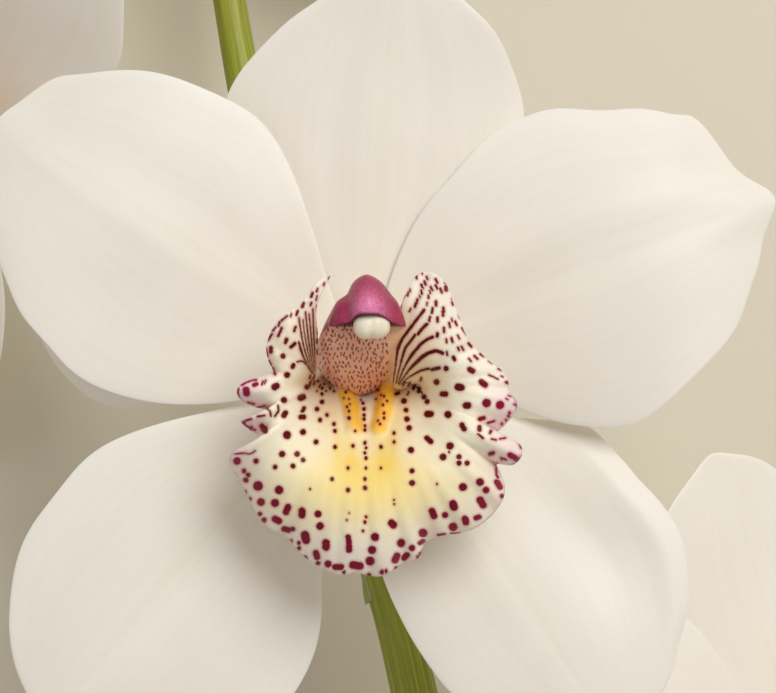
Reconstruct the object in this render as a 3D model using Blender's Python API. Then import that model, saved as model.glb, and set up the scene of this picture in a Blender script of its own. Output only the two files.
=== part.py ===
"""A cut cymbidium orchid stem with five open blooms and three buds, lying on a surface.

Metres, +Z up, +Y along the stem to its tip. The origin is on the surface that it lies on, in the middle
of its footprint. Shapes are worked out in millimetres from the small flat under the stem's cut end, and
turned to metres once, where a mesh is made. The last step moves the whole stem to its origin.
"""

import math

import bmesh
import bpy
import numpy as np

MM = 0.001
FOOTPRINT_MIDDLE = (-1.3, 238.5)

# Stem: radius from the cut end to the tip, the stretch that lies flat, and how far the rest is carried up
CUT_Y, FLAT_END_Y, TIP_Y = -20.0, 20.0, 462.0
STEM_RADIUS, TIP_RADIUS, STEM_SIDES = 4.5, 1.5, 12
STEM_REST_Z = STEM_RADIUS * math.cos(math.pi / STEM_SIDES)
STEM_LIFT, LIFT_END_Y = 24.0, 300.0
STEM_BOW, ZIGZAG, FIRST_NODE_Y, NODE_GAP = -5.0, 1.4, 118.0, 60.0
STEM_RINGS = 24

# Sheaths that clasp the bare stem: where each starts, its length and how far its free tip stands off
SHEATHS = ((34.0, 42.0, 3.2), (82.0, 36.0, 3.6))
SHEATH_WALL, BRACT_LENGTH, BRACT_WIDTH = 0.9, 11.0, 4.2

# A bloom's own frame: +x to the right and +y up as its face is seen, +z out of its face, in millimetres
TEPAL_ROOT, TEPAL_WALL, ROOT_SHARE = 2.7, 0.9, 0.065
SEPAL_Z, PETAL_Z, LIP_Z = 0.0, 1.3, 2.6
OVARY_TOP_Z, OVARY_RADIUS, PEDICEL_RADIUS = -0.85, 3.4, 1.9

# Each tepal: the direction of its tip in degrees and its length, then for its anticlockwise side and for
# its clockwise side the half width, where that is reached, how late it swells (1 is even) and how full
# its tip is (2 is round), its layer, then its forward bulge, the rise of its tip, the fall of its edges,
# a twist and the length of the small point on its tip
TEPALS = {
    "dorsal_sepal": (86.0, 52.8, (22.0, 0.54, 0.85, 1.5), (19.6, 0.57, 0.85, 1.95), SEPAL_Z, (0.2, 3.6, 2.4, 0.0, 0.8)),
    "left_petal": (147.0, 58.2, (24.2, 0.54, 0.7, 1.55), (19.2, 0.54, 1.3, 1.9), PETAL_Z, (4.2, -0.5, 2.0, 0.03, 0.8)),
    "right_petal": (21.6, 56.6, (22.3, 0.52, 0.74, 2.2), (22.4, 0.53, 1.5, 1.7), PETAL_Z, (4.2, -0.5, 2.2, -0.03, 2.6)),
    "left_sepal": (-131.0, 63.4, (23.0, 0.66, 1.75, 1.9), (19.9, 0.57, 1.5, 2.0), SEPAL_Z, (1.6, -2.0, 3.4, 0.0, 0.8)),
    "right_sepal": (-56.7, 60.0, (23.0, 0.55, 1.65, 2.1), (15.6, 0.55, 1.05, 1.9), SEPAL_Z, (1.6, -2.0, 3.4, 0.0, 0.8)),
}
NOSE_WIDTH = 3.2

# The lip's edge as (right, up, forward), evenly numbered from the tip of the left side lobe down its
# three frills, round the middle lobe and up the two frills on the right to the other side lobe's tip
LIP_EDGE = (
    (-4.7, 10.9, 20.0), (-8.2, 7.8, 20.5), (-11.6, 4.7, 20.0), (-12.8, 1.8, 19.5), (-12.1, -1.6, 17.0),
    (-16.2, -3.4, 19.5), (-12.4, -6.7, 15.0), (-16.1, -7.9, 18.0), (-13.8, -10.2, 14.5), (-17.6, -12.9, 17.0),
    (-16.0, -16.6, 14.0), (-14.0, -20.4, 14.4), (-10.6, -22.9, 13.8), (-7.7, -26.0, 14.4), (-4.6, -27.7, 15.0),
    (-1.2, -28.0, 14.6), (2.5, -28.2, 15.0), (5.2, -26.7, 14.2), (8.0, -23.8, 14.0), (12.4, -22.6, 14.4),
    (16.3, -20.5, 14.2), (18.3, -16.8, 14.6), (17.2, -13.5, 14.5), (20.3, -12.4, 18.0), (16.5, -10.1, 14.5),
    (19.5, -5.8, 18.5), (17.6, -1.3, 18.4), (14.3, 1.5, 19.2), (12.3, 5.2, 19.8), (10.9, 8.8, 20.2),
    (8.9, 11.2, 20.5), (6.3, 10.7, 20.0),
)
LIP_WALL, LIP_FOOT_WIDTH, LIP_FOOT_DROP, LIP_FOOT_Y = 0.8, 6.1, 1.6, -3.2
LIP_THROAT_Z, LIP_CREST_Z, FRILL_DEPTH = 12.5, 27.5, 3.0
KEEL_AT, KEEL_HEIGHT, KEEL_WIDTH = 0.125, 1.1, 0.045

# Cross-sections of the column from its foot to the underside of its hood: height and forward place of
# the middle, the tilt of its back from straight forward, half width, height of back and depth of front
COLUMN = (
    (-1.2, 2.15, 90.0, 5.1, 3.0, 2.7), (-0.3, 8.0, 97.0, 5.0, 3.2, 2.8), (1.5, 14.0, 103.0, 4.8, 3.6, 2.8),
    (3.4, 19.5, 102.0, 4.7, 4.8, 2.4), (4.3, 22.6, 90.0, 4.8, 6.3, 1.3), (4.4, 23.4, 60.0, 4.9, 6.2, 0.7),
    (4.4, 23.6, 30.0, 4.9, 5.8, 0.4), (4.4, 23.6, 2.0, 4.8, 5.4, 0.3),
)
HOOD_POINT, HOOD_ARCH = 1.5, 1.4
CAP_CENTRE, CAP_RADII = (0.9, 3.7, 26.5), (2.75, 1.25, 2.1)

# What differs from bloom to bloom: how many degrees and what share of its size a tepal may be off
SWING, STRETCH = 3.0, 0.03

# Each bloom: where its stalk leaves the stem, its centre, how far its face leans towards +x and towards
# the cut end, how far it is rolled, its size, and whether it is the mirror image. A centre with no height
# is a bloom at the side, which hangs down until its lowest tepal touches the surface.
BLOOMS = {
    "bloom_1": (118.0, (-47.0, 128.0), -38.0, 8.0, -6.0, 0.96, True),
    "bloom_2": (178.0, (48.0, 190.0), 38.0, 6.0, 10.0, 0.98, False),
    "bloom_3": (238.0, (6.0, 262.0, 80.0), 4.0, 8.0, -15.0, 1.0, False),
    "bloom_4": (298.0, (-48.0, 322.0), -38.0, 4.0, -4.0, 0.95, True),
    "bloom_5": (358.0, (46.0, 388.0), 38.0, 2.0, 12.0, 0.9, False),
}
FINE_BLOOM = "bloom_3"  # the bloom that faces up is the one seen closest, so its blades have more facets

# Each bud: where its stalk leaves the stem, its root, the way it points, length and half width
BUDS = {
    "bud_1": (404.0, (-16.0, 432.0, 40.0), (-0.55, 0.62, 0.56), 36.0, 7.6),
    "bud_2": (430.0, (13.0, 452.0, 41.0), (0.50, 0.74, 0.45), 31.0, 6.6),
    "bud_3": (TIP_Y, (2.0, 474.0, 34.0), (0.05, 0.90, 0.44), 25.0, 5.2),
}


def smooth(x):
    """0 before 0 and 1 after 1, with an even ease between."""
    x = np.clip(x, 0.0, 1.0)
    return x * x * (3.0 - 2.0 * x)


def unit(vector):
    return np.asarray(vector, float) / np.linalg.norm(vector)


def bezier(points, s):
    """Points of a cubic curve with four control points, at each share s of its way."""
    a, b, c, d = (np.asarray(p, float) for p in points)
    s = np.asarray(s, float)[:, None]
    return a * (1 - s) ** 3 + 3 * b * s * (1 - s) ** 2 + 3 * c * s * s * (1 - s) + d * s**3


def curve_through(knots, at):
    """A smooth curve through evenly spaced knots, at places from 0 to 1."""
    knots = np.asarray(knots, float)
    last = len(knots) - 1
    place = np.clip(np.asarray(at, float), 0.0, 1.0) * last
    i = np.minimum(place.astype(int), last - 1)
    f = (place - i)[:, None]
    before, here, there, after = (knots[np.clip(i + k, 0, last)] for k in (-1, 0, 1, 2))
    return 0.5 * (
        2 * here
        + (there - before) * f
        + (2 * before - 5 * here + 4 * there - after) * f**2
        + (3 * here - before - 3 * there + after) * f**3
    )


def stem_centre(y):
    """The stem's centre line: flat by the cut end, then carried up, with a slight bow and a zigzag."""
    y = np.asarray(y, float)
    z = STEM_REST_Z + STEM_LIFT * smooth((y - FLAT_END_Y) / (LIFT_END_Y - FLAT_END_Y))
    grown = smooth((y - FLAT_END_Y) / FIRST_NODE_Y)
    x = grown * (STEM_BOW * np.sin(np.pi * y / TIP_Y) + ZIGZAG * np.cos(np.pi * (y - FIRST_NODE_Y) / NODE_GAP))
    return np.stack([x, y, z], axis=-1)


def stem_radius(y):
    return STEM_RADIUS + (TIP_RADIUS - STEM_RADIUS) * smooth((np.asarray(y, float) - FLAT_END_Y) / (TIP_Y + 40.0))


def across_path(points, up=(0.0, 0.0, 1.0)):
    """Two unit directions across a path at each of its points: level, and away from the surface."""
    along = np.gradient(points, axis=0, edge_order=2)
    along /= np.linalg.norm(along, axis=1)[:, None]
    level = np.cross(along, np.asarray(up, float))
    level /= np.linalg.norm(level, axis=1)[:, None]
    return level, np.cross(level, along)


def tube_rings(points, radii, sides, ribs=0.0, up=(0.0, 0.0, 1.0)):
    """Rings round a path. ribs is the share by which three long ribs stand out."""
    level, above = across_path(points, up)
    turn = (np.arange(sides) + 0.5) * 2 * np.pi / sides - np.pi / 2
    wide = np.asarray(radii, float)[:, None] * (1 + ribs * np.cos(3 * turn))[None, :]
    return (
        points[:, None, :]
        + (wide * np.cos(turn))[..., None] * level[:, None, :]
        + (wide * np.sin(turn))[..., None] * above[:, None, :]
    )


def material(name, colour, roughness):
    """A plain finish with one colour."""
    made = bpy.data.materials.new(name)
    made.use_nodes = True
    shader = made.node_tree.nodes["Principled BSDF"]
    shader.inputs["Base Color"].default_value = (*colour, 1.0)
    shader.inputs["Roughness"].default_value = roughness
    return made


def object_of(name, mesh_data, finish, parent=None):
    """Turns a bmesh in millimetres into a named object in metres."""
    bmesh.ops.recalc_face_normals(mesh_data, faces=mesh_data.faces)
    bmesh.ops.scale(mesh_data, vec=(MM, MM, MM), verts=mesh_data.verts)
    mesh = bpy.data.meshes.new(name)
    mesh_data.to_mesh(mesh)
    mesh_data.free()
    mesh.shade_smooth()
    mesh.materials.append(finish)
    made = bpy.data.objects.new(name, mesh)
    bpy.context.scene.collection.objects.link(made)
    made.parent = parent
    return made


def loft(name, rings, finish, parent=None):
    """A closed solid: rings of points bridged in order, with both ends capped."""
    work = bmesh.new()
    loops = [[work.verts.new(point) for point in ring] for ring in rings]
    for near, far in zip(loops, loops[1:]):
        for i, vertex in enumerate(near):
            after = (i + 1) % len(near)
            work.faces.new((vertex, near[after], far[after], far[i]))
    work.faces.new(loops[0][::-1])
    work.faces.new(loops[-1])
    bmesh.ops.triangulate(work, faces=work.faces)
    return object_of(name, work, finish, parent)


def blade(name, surface, along, across, wall, finish, parent):
    """A thin closed blade: a grid bent onto a surface, split into triangles, then given its wall.

    Splitting first makes both faces alike, so that a waved blade doesn't cross itself.
    """
    work = bmesh.new()
    bmesh.ops.create_grid(work, x_segments=along, y_segments=across, size=1.0)
    work.verts.ensure_lookup_table()
    place = np.array([vertex.co[:2] for vertex in work.verts])
    for vertex, point in zip(work.verts, surface((place[:, 0] + 1) / 2, place[:, 1])):
        vertex.co = point
    bmesh.ops.remove_doubles(work, verts=work.verts, dist=0.001)
    bmesh.ops.triangulate(work, faces=work.faces)
    made = object_of(name, work, finish, parent)
    thick = made.modifiers.new("wall", "SOLIDIFY")
    thick.thickness = wall * MM
    thick.offset = 0.0
    return made


def tepal_surface(direction, length, left, right, layer, relief):
    """A tepal as a sheet: each side swells from a narrow root to its half width and rounds to the tip."""
    along = np.array([math.cos(math.radians(direction)), math.sin(math.radians(direction))])
    aside = np.array([-along[1], along[0]])
    bulge, tip, fall, twist, nose = relief

    def side_width(u, width, widest, swell, fullness):
        near = ROOT_SHARE + (1 - ROOT_SHARE) * np.sin(np.pi / 2 * np.clip(u / widest, 0, 1)) ** swell
        past = np.clip((u - widest) / (1 - widest), 0, 1)
        return width * np.where(u < widest, near, (1 - past**fullness) ** (1 / fullness))

    def surface(share, v):
        u = np.sin(np.pi / 2 * share)
        y = v * np.where(v > 0, side_width(u, *left), side_width(u, *right))
        x = TEPAL_ROOT + (length - TEPAL_ROOT) * u + nose * np.exp(-((y / NOSE_WIDTH) ** 2)) * smooth(5 * u - 4)
        out = (y / max(left[0], right[0])) ** 2
        z = layer + bulge * 6.75 * u**2 * (1 - u) + tip * u**3 - fall * out * smooth(2 * u) + twist * y * u
        return np.column_stack([x * along[0] + y * aside[0], x * along[1] + y * aside[1], z])

    return surface


def lip_surface(share, t):
    """The lip as a sheet of ribs that fan out round the column's foot: forward, then over to the edge.

    share runs from the foot to the edge and t from the left side lobe's tip to the right one's. A rib
    heads for the edge evened out over its neighbours, and bends into the frill only on its last part.
    Two keels stand on the disc beside the middle rib.
    """
    s = np.asarray(share, float)
    t = np.asarray(t, float)
    knots = np.asarray(LIP_EDGE)
    ends = np.pad(knots, ((3, 3), (0, 0)), mode="reflect", reflect_type="odd")
    evened = sum(ends[k : k + len(knots)] for k in range(7)) / 7
    edge = curve_through(knots, (t + 1) / 2)
    aim = curve_through(evened, (t + 1) / 2)
    around = np.sin(np.pi / 2 * np.clip(t / 0.6, -1, 1))
    foot = np.column_stack([
        LIP_FOOT_WIDTH * around,
        LIP_FOOT_Y - LIP_FOOT_DROP * (1 - around**2),
        np.full_like(t, LIP_Z),
    ])
    lobe = smooth((np.abs(t) - 0.35) / 0.5)
    reach = aim[:, :2] - foot[:, :2]
    throat = np.column_stack([foot[:, :2] + (0.15 - 0.09 * lobe)[:, None] * reach, LIP_THROAT_Z + 1.5 * lobe])
    crest = np.column_stack([foot[:, :2] + (0.5 + 0.06 * lobe)[:, None] * reach, LIP_CREST_Z - 5.0 * lobe])
    shape = (
        foot * ((1 - s) ** 3)[:, None]
        + throat * (3 * s * (1 - s) ** 2)[:, None]
        + crest * (3 * s * s * (1 - s))[:, None]
        + aim * (s**3)[:, None]
        + (edge - aim) * (s**FRILL_DEPTH)[:, None]
    )
    keel = np.exp(-(((np.abs(t) - KEEL_AT) / KEEL_WIDTH) ** 2)) * smooth(s / 0.2) * smooth((0.62 - s) / 0.2)
    shape[:, 1:] += np.array([0.7, 0.7]) * (KEEL_HEIGHT * keel)[:, None]
    return shape


def column_rings(sides, count):
    """Rings of the column: a peaked back and a flat front, the last ones swung forward into a hood.

    The underside of the hood arches up over the anther cap.
    """
    share = np.linspace(0, 1, count)
    up, forward, tilt, wide, back, front = curve_through(COLUMN, share).T
    tilt = np.radians(tilt)
    dorsal = np.column_stack([np.zeros(count), np.sin(tilt), np.cos(tilt)])
    turn = (np.arange(sides) + 0.5) * 2 * np.pi / sides
    c, d = np.cos(turn), np.sin(turn)
    power = np.where(d > 0, 2 / HOOD_POINT, 0.6)
    across = np.sign(c) * np.abs(c) ** power
    height = np.where(d > 0, back[:, None], front[:, None]) * np.sign(d) * np.abs(d) ** power
    rings = np.zeros((count, sides, 3))
    rings[..., 0] = wide[:, None] * across
    rings[..., 1] = up[:, None]
    rings[..., 2] = forward[:, None]
    rings += height[..., None] * dorsal[:, None, :]
    under = smooth((share - 0.72) / 0.28)[:, None] * np.clip(6 * height / back[:, None], 0, 1)
    rings[..., 1] += HOOD_ARCH * under * (1 - across**2)
    return rings


def anther_cap(name, finish, parent, segments):
    """The pale two-lobed cap that hangs under the column's hood."""
    work = bmesh.new()
    bmesh.ops.create_uvsphere(work, u_segments=segments, v_segments=segments // 2 + 1, radius=1.0)
    for vertex in work.verts:
        x, y, z = vertex.co
        notch = 1.0 - 0.28 * math.exp(-((x / 0.3) ** 2)) * (y < 0)
        vertex.co = [c + r * p for c, r, p in zip(CAP_CENTRE, CAP_RADII, (x, y * notch, z))]
    bmesh.ops.triangulate(work, faces=work.faces)
    return object_of(name, work, finish, parent)


def turned(lean, nod, roll):
    """The bloom's x, y and z directions: rolled, nodded towards the cut end, then leant towards +x."""
    a, b, c = (math.radians(angle) for angle in (lean, nod, roll))
    rolled = np.array([[math.cos(c), -math.sin(c), 0], [math.sin(c), math.cos(c), 0], [0, 0, 1]])
    nodded = np.array([[1, 0, 0], [0, math.cos(b), -math.sin(b)], [0, math.sin(b), math.cos(b)]])
    leant = np.array([[math.cos(a), 0, math.sin(a)], [0, 1, 0], [-math.sin(a), 0, math.cos(a)]])
    return leant @ nodded @ rolled


def tepals_of(name):
    """The tepals of one bloom. The one that is seen closest has them as listed, the others a little off."""
    found = {}
    for i, (piece, (direction, length, *rest)) in enumerate(TEPALS.items()):
        off = 0.0 if name == FINE_BLOOM else math.sin(7.0 * list(BLOOMS).index(name) + 4.0 * i)
        found[piece] = tepal_surface(direction + SWING * off, length * (1 - STRETCH * off), *rest)
    return found


def bloom_frame(name):
    """A bloom's matrix in millimetres, as its three directions in columns, and its centre."""
    _, centre, lean, nod, roll, size, mirrored = BLOOMS[name]
    directions = turned(lean, nod, roll) * size
    directions[:, 0] *= -1.0 if mirrored else 1.0
    if len(centre) == 2:
        share, v = (grid.ravel() for grid in np.meshgrid(np.linspace(0, 1, 33), np.linspace(-1, 1, 33)))
        lowest = min((surface(share, v) @ directions.T)[:, 2].min() for surface in tepals_of(name).values())
        centre = (*centre, TEPAL_WALL / 2 * size - lowest)
    return directions, np.asarray(centre)


def make_bloom(name, finishes):
    """The eight pieces of one bloom: three sepals, two petals, the lip, the column and its anther cap."""
    directions, centre = bloom_frame(name)
    holder = bpy.data.objects.new(name + "_place", None)
    bpy.context.scene.collection.objects.link(holder)
    matrix = np.eye(4)
    matrix[:3, :3] = directions
    matrix[:3, 3] = centre * MM
    holder.matrix_world = matrix.T.tolist()
    fine = name == FINE_BLOOM
    tepal_grid, lip_grid = ((12, 9), (7, 62)) if fine else ((8, 5), (5, 31))
    for piece, surface in tepals_of(name).items():
        blade(f"{name}_{piece}", surface, *tepal_grid, TEPAL_WALL, finishes["tepal"], holder)
    blade(f"{name}_lip", lip_surface, *lip_grid, LIP_WALL, finishes["lip"], holder)
    sides, count = (14, 12) if fine else (10, 8)
    loft(f"{name}_column", column_rings(sides, count), finishes["column"], holder)
    anther_cap(f"{name}_anther_cap", finishes["anther"], holder, 12 if fine else 8)


def stalk(name, stem_y, end, arrival, radii, sides, count, finish):
    """A flower's stalk: it leaves the stem towards the tip and swings round to arrive behind the flower."""
    root = stem_centre(stem_y)
    reach = np.linalg.norm(np.asarray(end) - root)
    leave = unit(unit(np.asarray(end) - root) + np.array([0.0, 0.9, 0.0]))
    path = bezier(
        (root, root + 0.35 * reach * leave, np.asarray(end) - 0.45 * reach * unit(arrival), end),
        np.linspace(0, 1, count),
    )
    level_up = np.array([0.0, 1.0, 0.3]) if abs(unit(arrival)[2]) > 0.7 else np.array([0.0, 0.0, 1.0])
    return loft(name, tube_rings(path, np.interp(np.linspace(0, 1, count), *radii), sides, up=level_up), finish)


def bract(name, stem_y, towards, finish):
    """The small pointed scale below a stalk, on the stem's side that the stalk leaves from."""
    root = stem_centre(stem_y - 5.0)
    side = unit(np.asarray(towards) - root)
    level = unit(np.cross(side, np.array([0.0, 1.0, 0.0])))
    radius = float(stem_radius(stem_y))
    rings = []
    for share in np.linspace(0, 1, 5):
        middle = root + np.array([0.0, 1.0, 0.0]) * BRACT_LENGTH * share + side * (radius * 0.75 + 3.4 * share**1.6)
        wide = BRACT_WIDTH * math.cos(share * 1.35)
        thick = 0.9 - 0.3 * share
        rings.append([
            middle + level * wide * c + side * (thick * d - 0.10 * wide * abs(c))
            for c, d in ((1, 0), (0.6, 0.6), (0, 1), (-0.6, 0.6), (-1, 0), (-0.6, -0.6), (0, -1), (0.6, -0.6))
        ])
    return loft(name, rings, finish)


def sheath(name, start, length, stand_off, finish):
    """A sheath wrapped round the stem, its far edge cut on a slant and standing off at its tip."""
    rings = []
    for share in np.linspace(0, 1, 6):
        y = start + length * share
        centre, radius = stem_centre(y), float(stem_radius(y))
        ring = []
        for i in range(STEM_SIDES):
            turn = (i + 0.5) * 2 * math.pi / STEM_SIDES - math.pi / 2
            upward = (1 + math.sin(turn)) / 2
            reach = radius + SHEATH_WALL * math.sqrt(upward) * (1 - share**6) + stand_off * share**2 * upward**6
            shift = -length * 0.55 * share * (1 - upward)
            ring.append([centre[0] + reach * math.cos(turn), y + shift, centre[2] + reach * math.sin(turn)])
        rings.append(ring)
    return loft(name, rings, finish)


def make_stem(finish):
    """The stem with its stalks, bracts and sheaths joined in one solid."""
    y = np.concatenate([[CUT_Y, FLAT_END_Y], np.linspace(FLAT_END_Y, TIP_Y, STEM_RINGS)[1:]])
    rings = tube_rings(stem_centre(y), stem_radius(y), STEM_SIDES)
    stem = loft("flower_stem", rings, finish)
    grown = bpy.data.collections.new("grown_on_stem")
    bpy.context.scene.collection.children.link(grown)
    parts = []
    for name, (stem_y, *_) in BLOOMS.items():
        directions, centre = bloom_frame(name)
        end = centre + directions[:, 2] * OVARY_TOP_Z
        radii = ([0.0, 0.45, 0.75, 1.0], [PEDICEL_RADIUS, 2.0, 2.9, OVARY_RADIUS])
        parts.append(stalk(name + "_stalk", stem_y, end, directions[:, 2], radii, 8, 10, finish))
        parts.append(bract(name + "_bract", stem_y, centre, finish))
    for name, (stem_y, root, way, _, _) in BUDS.items():
        end = np.asarray(root) - 0.3 * unit(way)
        parts.append(stalk(name + "_stalk", stem_y - 4.0, end, way, ([0, 1], [1.3, 1.7]), 8, 7, finish))
        if stem_y < TIP_Y:
            parts.append(bract(name + "_bract", stem_y - 4.0, root, finish))
    for i, numbers in enumerate(SHEATHS):
        parts.append(sheath(f"sheath_{i + 1}", *numbers, finish))
    for part in parts:
        bpy.context.scene.collection.objects.unlink(part)
        grown.objects.link(part)
    join = stem.modifiers.new("grown", "BOOLEAN")
    join.operation = "UNION"
    join.operand_type = "COLLECTION"
    join.collection = grown
    join.solver = "MANIFOLD"
    bpy.context.view_layer.update()
    joined = bpy.data.meshes.new_from_object(stem.evaluated_get(bpy.context.evaluated_depsgraph_get()))
    stem.modifiers.clear()
    stem.data = joined
    for part in parts:
        bpy.data.objects.remove(part)
    bpy.data.collections.remove(grown)


def make_bud(name, finish):
    """A closed bud: its three sepals meet in blunt ribs and draw in to a blunt tip."""
    _, root, way, length, wide = BUDS[name]
    share = np.linspace(0, 1, 9)
    swell = np.sin(np.pi * share**0.85) ** 0.75
    radii = np.maximum(wide * swell, 1.2)
    droop = np.outer(share**2, np.array([0.0, 0.0, -0.06 * length]))
    path = np.asarray(root) + np.outer(share * length, unit(way)) + droop
    loft(name, tube_rings(path, radii, 12, ribs=0.06), finish)


def main():
    for old in list(bpy.data.objects):
        bpy.data.objects.remove(old)
    finishes = {
        "stem": material("green_stem", (0.19, 0.26, 0.05), 0.45),
        "tepal": material("white_tepal", (0.84, 0.79, 0.70), 0.5),
        "lip": material("spotted_lip", (0.86, 0.74, 0.52), 0.45),
        "column": material("magenta_column", (0.48, 0.08, 0.19), 0.35),
        "anther": material("cream_anther", (0.82, 0.75, 0.58), 0.4),
        "bud": material("green_white_bud", (0.66, 0.68, 0.42), 0.5),
    }
    make_stem(finishes["stem"])
    for name in BLOOMS:
        make_bloom(name, finishes)
    for name in BUDS:
        make_bud(name, finishes["bud"])
    whole = bpy.data.objects.new("orchid_stem_place", None)
    bpy.context.scene.collection.objects.link(whole)
    whole.location = (-FOOTPRINT_MIDDLE[0] * MM, -FOOTPRINT_MIDDLE[1] * MM, 0.0)
    for made in list(bpy.data.objects):
        if made.parent is None and made is not whole:
            made.parent = whole


main()
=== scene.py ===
"""The looks of a cut cymbidium orchid stem with open white blooms and buds, lying on a pale surface.

Every shape is a sheet or a tube worked out in millimetres from the same formulas as the solids, on a finer
grid and with the low relief that they leave out, and is written in metres. Places on the lip are read off
the photograph, in its pixels, and carried onto the lip as the camera sees it.
"""

import math

import bpy
import numpy as np
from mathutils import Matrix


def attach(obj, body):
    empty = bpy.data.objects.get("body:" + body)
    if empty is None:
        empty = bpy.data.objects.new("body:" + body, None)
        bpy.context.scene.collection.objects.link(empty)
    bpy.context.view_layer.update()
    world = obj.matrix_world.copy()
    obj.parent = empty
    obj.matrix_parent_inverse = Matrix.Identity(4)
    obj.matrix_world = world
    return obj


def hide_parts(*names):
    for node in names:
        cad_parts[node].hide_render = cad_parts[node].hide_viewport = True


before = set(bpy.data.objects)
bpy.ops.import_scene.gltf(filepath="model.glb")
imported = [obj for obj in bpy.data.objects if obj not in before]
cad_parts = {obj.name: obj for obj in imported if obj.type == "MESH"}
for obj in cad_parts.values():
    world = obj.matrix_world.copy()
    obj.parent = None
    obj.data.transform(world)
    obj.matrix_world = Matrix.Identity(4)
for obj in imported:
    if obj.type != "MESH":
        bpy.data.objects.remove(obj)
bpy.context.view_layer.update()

# A millimetre in metres, the middle of the part's footprint, which is the frame's origin, and the least
# height that the looks keep above the ground
MM = 0.001
FOOTPRINT_MIDDLE = np.array([-1.3, 238.5, 0.0])
LEAST_HEIGHT = 0.05

# The photograph: its size, the pixel at the closest bloom's middle, what a pixel to the right and down spans
# there, how far the camera stands from the bloom, and the point of the bloom that it looks at
PHOTO_WIDTH, PHOTO_HEIGHT = 776, 693
PHOTO_CENTRE = np.array([365.0, 360.0])
MM_PER_PIXEL = 0.135
PIXEL = np.array([MM_PER_PIXEL, -MM_PER_PIXEL])
CAMERA_DISTANCE = 450.0
AIM = (np.array([PHOTO_WIDTH, PHOTO_HEIGHT]) / 2 - PHOTO_CENTRE) * PIXEL

# Stem, in the solids' own numbers: its ends, its radii, how far and up to where it rises, its bow and its
# zigzag from node to node, and how its nodes swell. A sheath is given by where it starts, its length and
# how far its tip stands off
CUT_Y, FLAT_END_Y, TIP_Y = -20.0, 20.0, 462.0
STEM_RADIUS, TIP_RADIUS, STEM_SIDES = 4.5, 1.5, 12
STEM_REST_Z = STEM_RADIUS * math.cos(math.pi / STEM_SIDES)
STEM_LIFT, LIFT_END_Y = 24.0, 300.0
STEM_BOW, ZIGZAG, FIRST_NODE_Y, NODE_GAP = -5.0, 1.4, 118.0, 60.0
NODES, NODE_SWELL, NODE_REACH = 6, 0.35, 5.0
SHEATHS = ((34.0, 42.0, 3.2), (82.0, 36.0, 3.6))
BRACT_LENGTH, BRACT_WIDTH, BRACT_HALF_WALL, SHEATH_HALF_WALL = 11.0, 4.2, 0.32, 0.28

# Tepals, in the solids' own numbers: where they start, their wall, how wide their root is, how wide their
# nose, and the heights of their layers
TEPAL_ROOT, TEPAL_WALL, ROOT_SHARE, NOSE_WIDTH = 2.7, 0.9, 0.065, 3.2
SEPAL_Z, PETAL_Z, LIP_Z = 0.0, 1.3, 2.6
OVARY_TOP_Z = -0.85

# Low relief of the tepals: depth and reach of the groove along the midrib, and height of the edge's wave
MIDRIB_DEPTH, MIDRIB_REACH, EDGE_WAVE = 0.07, 0.03, 0.5

# Each tepal's direction, length, the anticlockwise and the clockwise side (half width, where it is widest,
# how late it swells, how full its tip is), layer, and relief (bulge, lift of the tip, fall of the edges,
# twist, nose)
TEPALS = {
    "dorsal_sepal": (
        86.0, 52.8, (22.0, 0.54, 0.85, 1.5), (19.6, 0.57, 0.85, 1.95), SEPAL_Z, (0.2, 3.6, 2.4, 0.0, 0.8),
    ),
    "left_petal": (
        147.0, 58.2, (24.2, 0.54, 0.7, 1.55), (19.2, 0.54, 1.3, 1.9), PETAL_Z, (4.2, -0.5, 2.0, 0.03, 0.8),
    ),
    "right_petal": (
        21.6, 56.6, (22.3, 0.52, 0.74, 2.2), (22.4, 0.53, 1.5, 1.7), PETAL_Z, (4.2, -0.5, 2.2, -0.03, 2.6),
    ),
    "left_sepal": (
        -131.0, 63.4, (23.0, 0.66, 1.75, 1.9), (19.9, 0.57, 1.5, 2.0), SEPAL_Z, (1.6, -2.0, 3.4, 0.0, 0.8),
    ),
    "right_sepal": (
        -56.7, 60.0, (23.0, 0.55, 1.65, 2.1), (15.6, 0.55, 1.05, 1.9), SEPAL_Z, (1.6, -2.0, 3.4, 0.0, 0.8),
    ),
}

# Where the closest bloom's tepals stand out past or short of the solids' plain outline: for the
# anticlockwise and the clockwise side, place along, reach along and millimetres, and then how much longer
# the tepal is
OUTLINE_SWELLS = {
    "dorsal_sepal": (
        ((0.68, 0.12, 0.6), (0.90, 0.04, -0.5)), ((0.78, 0.12, -0.35), (0.93, 0.06, -1.0)), 0.0,
    ),
    "left_petal": (
        ((0.60, 0.13, -1.85), (0.78, 0.07, -0.8), (0.33, 0.20, -0.8)),
        ((0.97, 0.05, 1.8), (0.44, 0.10, 0.6)), 0.0,
    ),
    "right_petal": (
        ((0.33, 0.10, -0.9), (0.72, 0.09, -1.1), (0.945, 0.04, 2.2), (0.985, 0.02, -2.4)),
        ((0.65, 0.17, -2.1), (0.41, 0.09, -0.8), (0.91, 0.05, -0.9)), 0.0,
    ),
    "left_sepal": (((0.36, 0.06, -0.5),), ((0.74, 0.12, 0.7),), 1.6),
    "right_sepal": (
        ((0.35, 0.07, 2.0), (0.53, 0.05, -0.5), (0.70, 0.07, 0.7), (0.90, 0.05, -1.1)),
        ((0.70, 0.07, 0.5),), 1.6,
    ),
}
PLAIN_OUTLINE = ((), (), 0.0)

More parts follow.
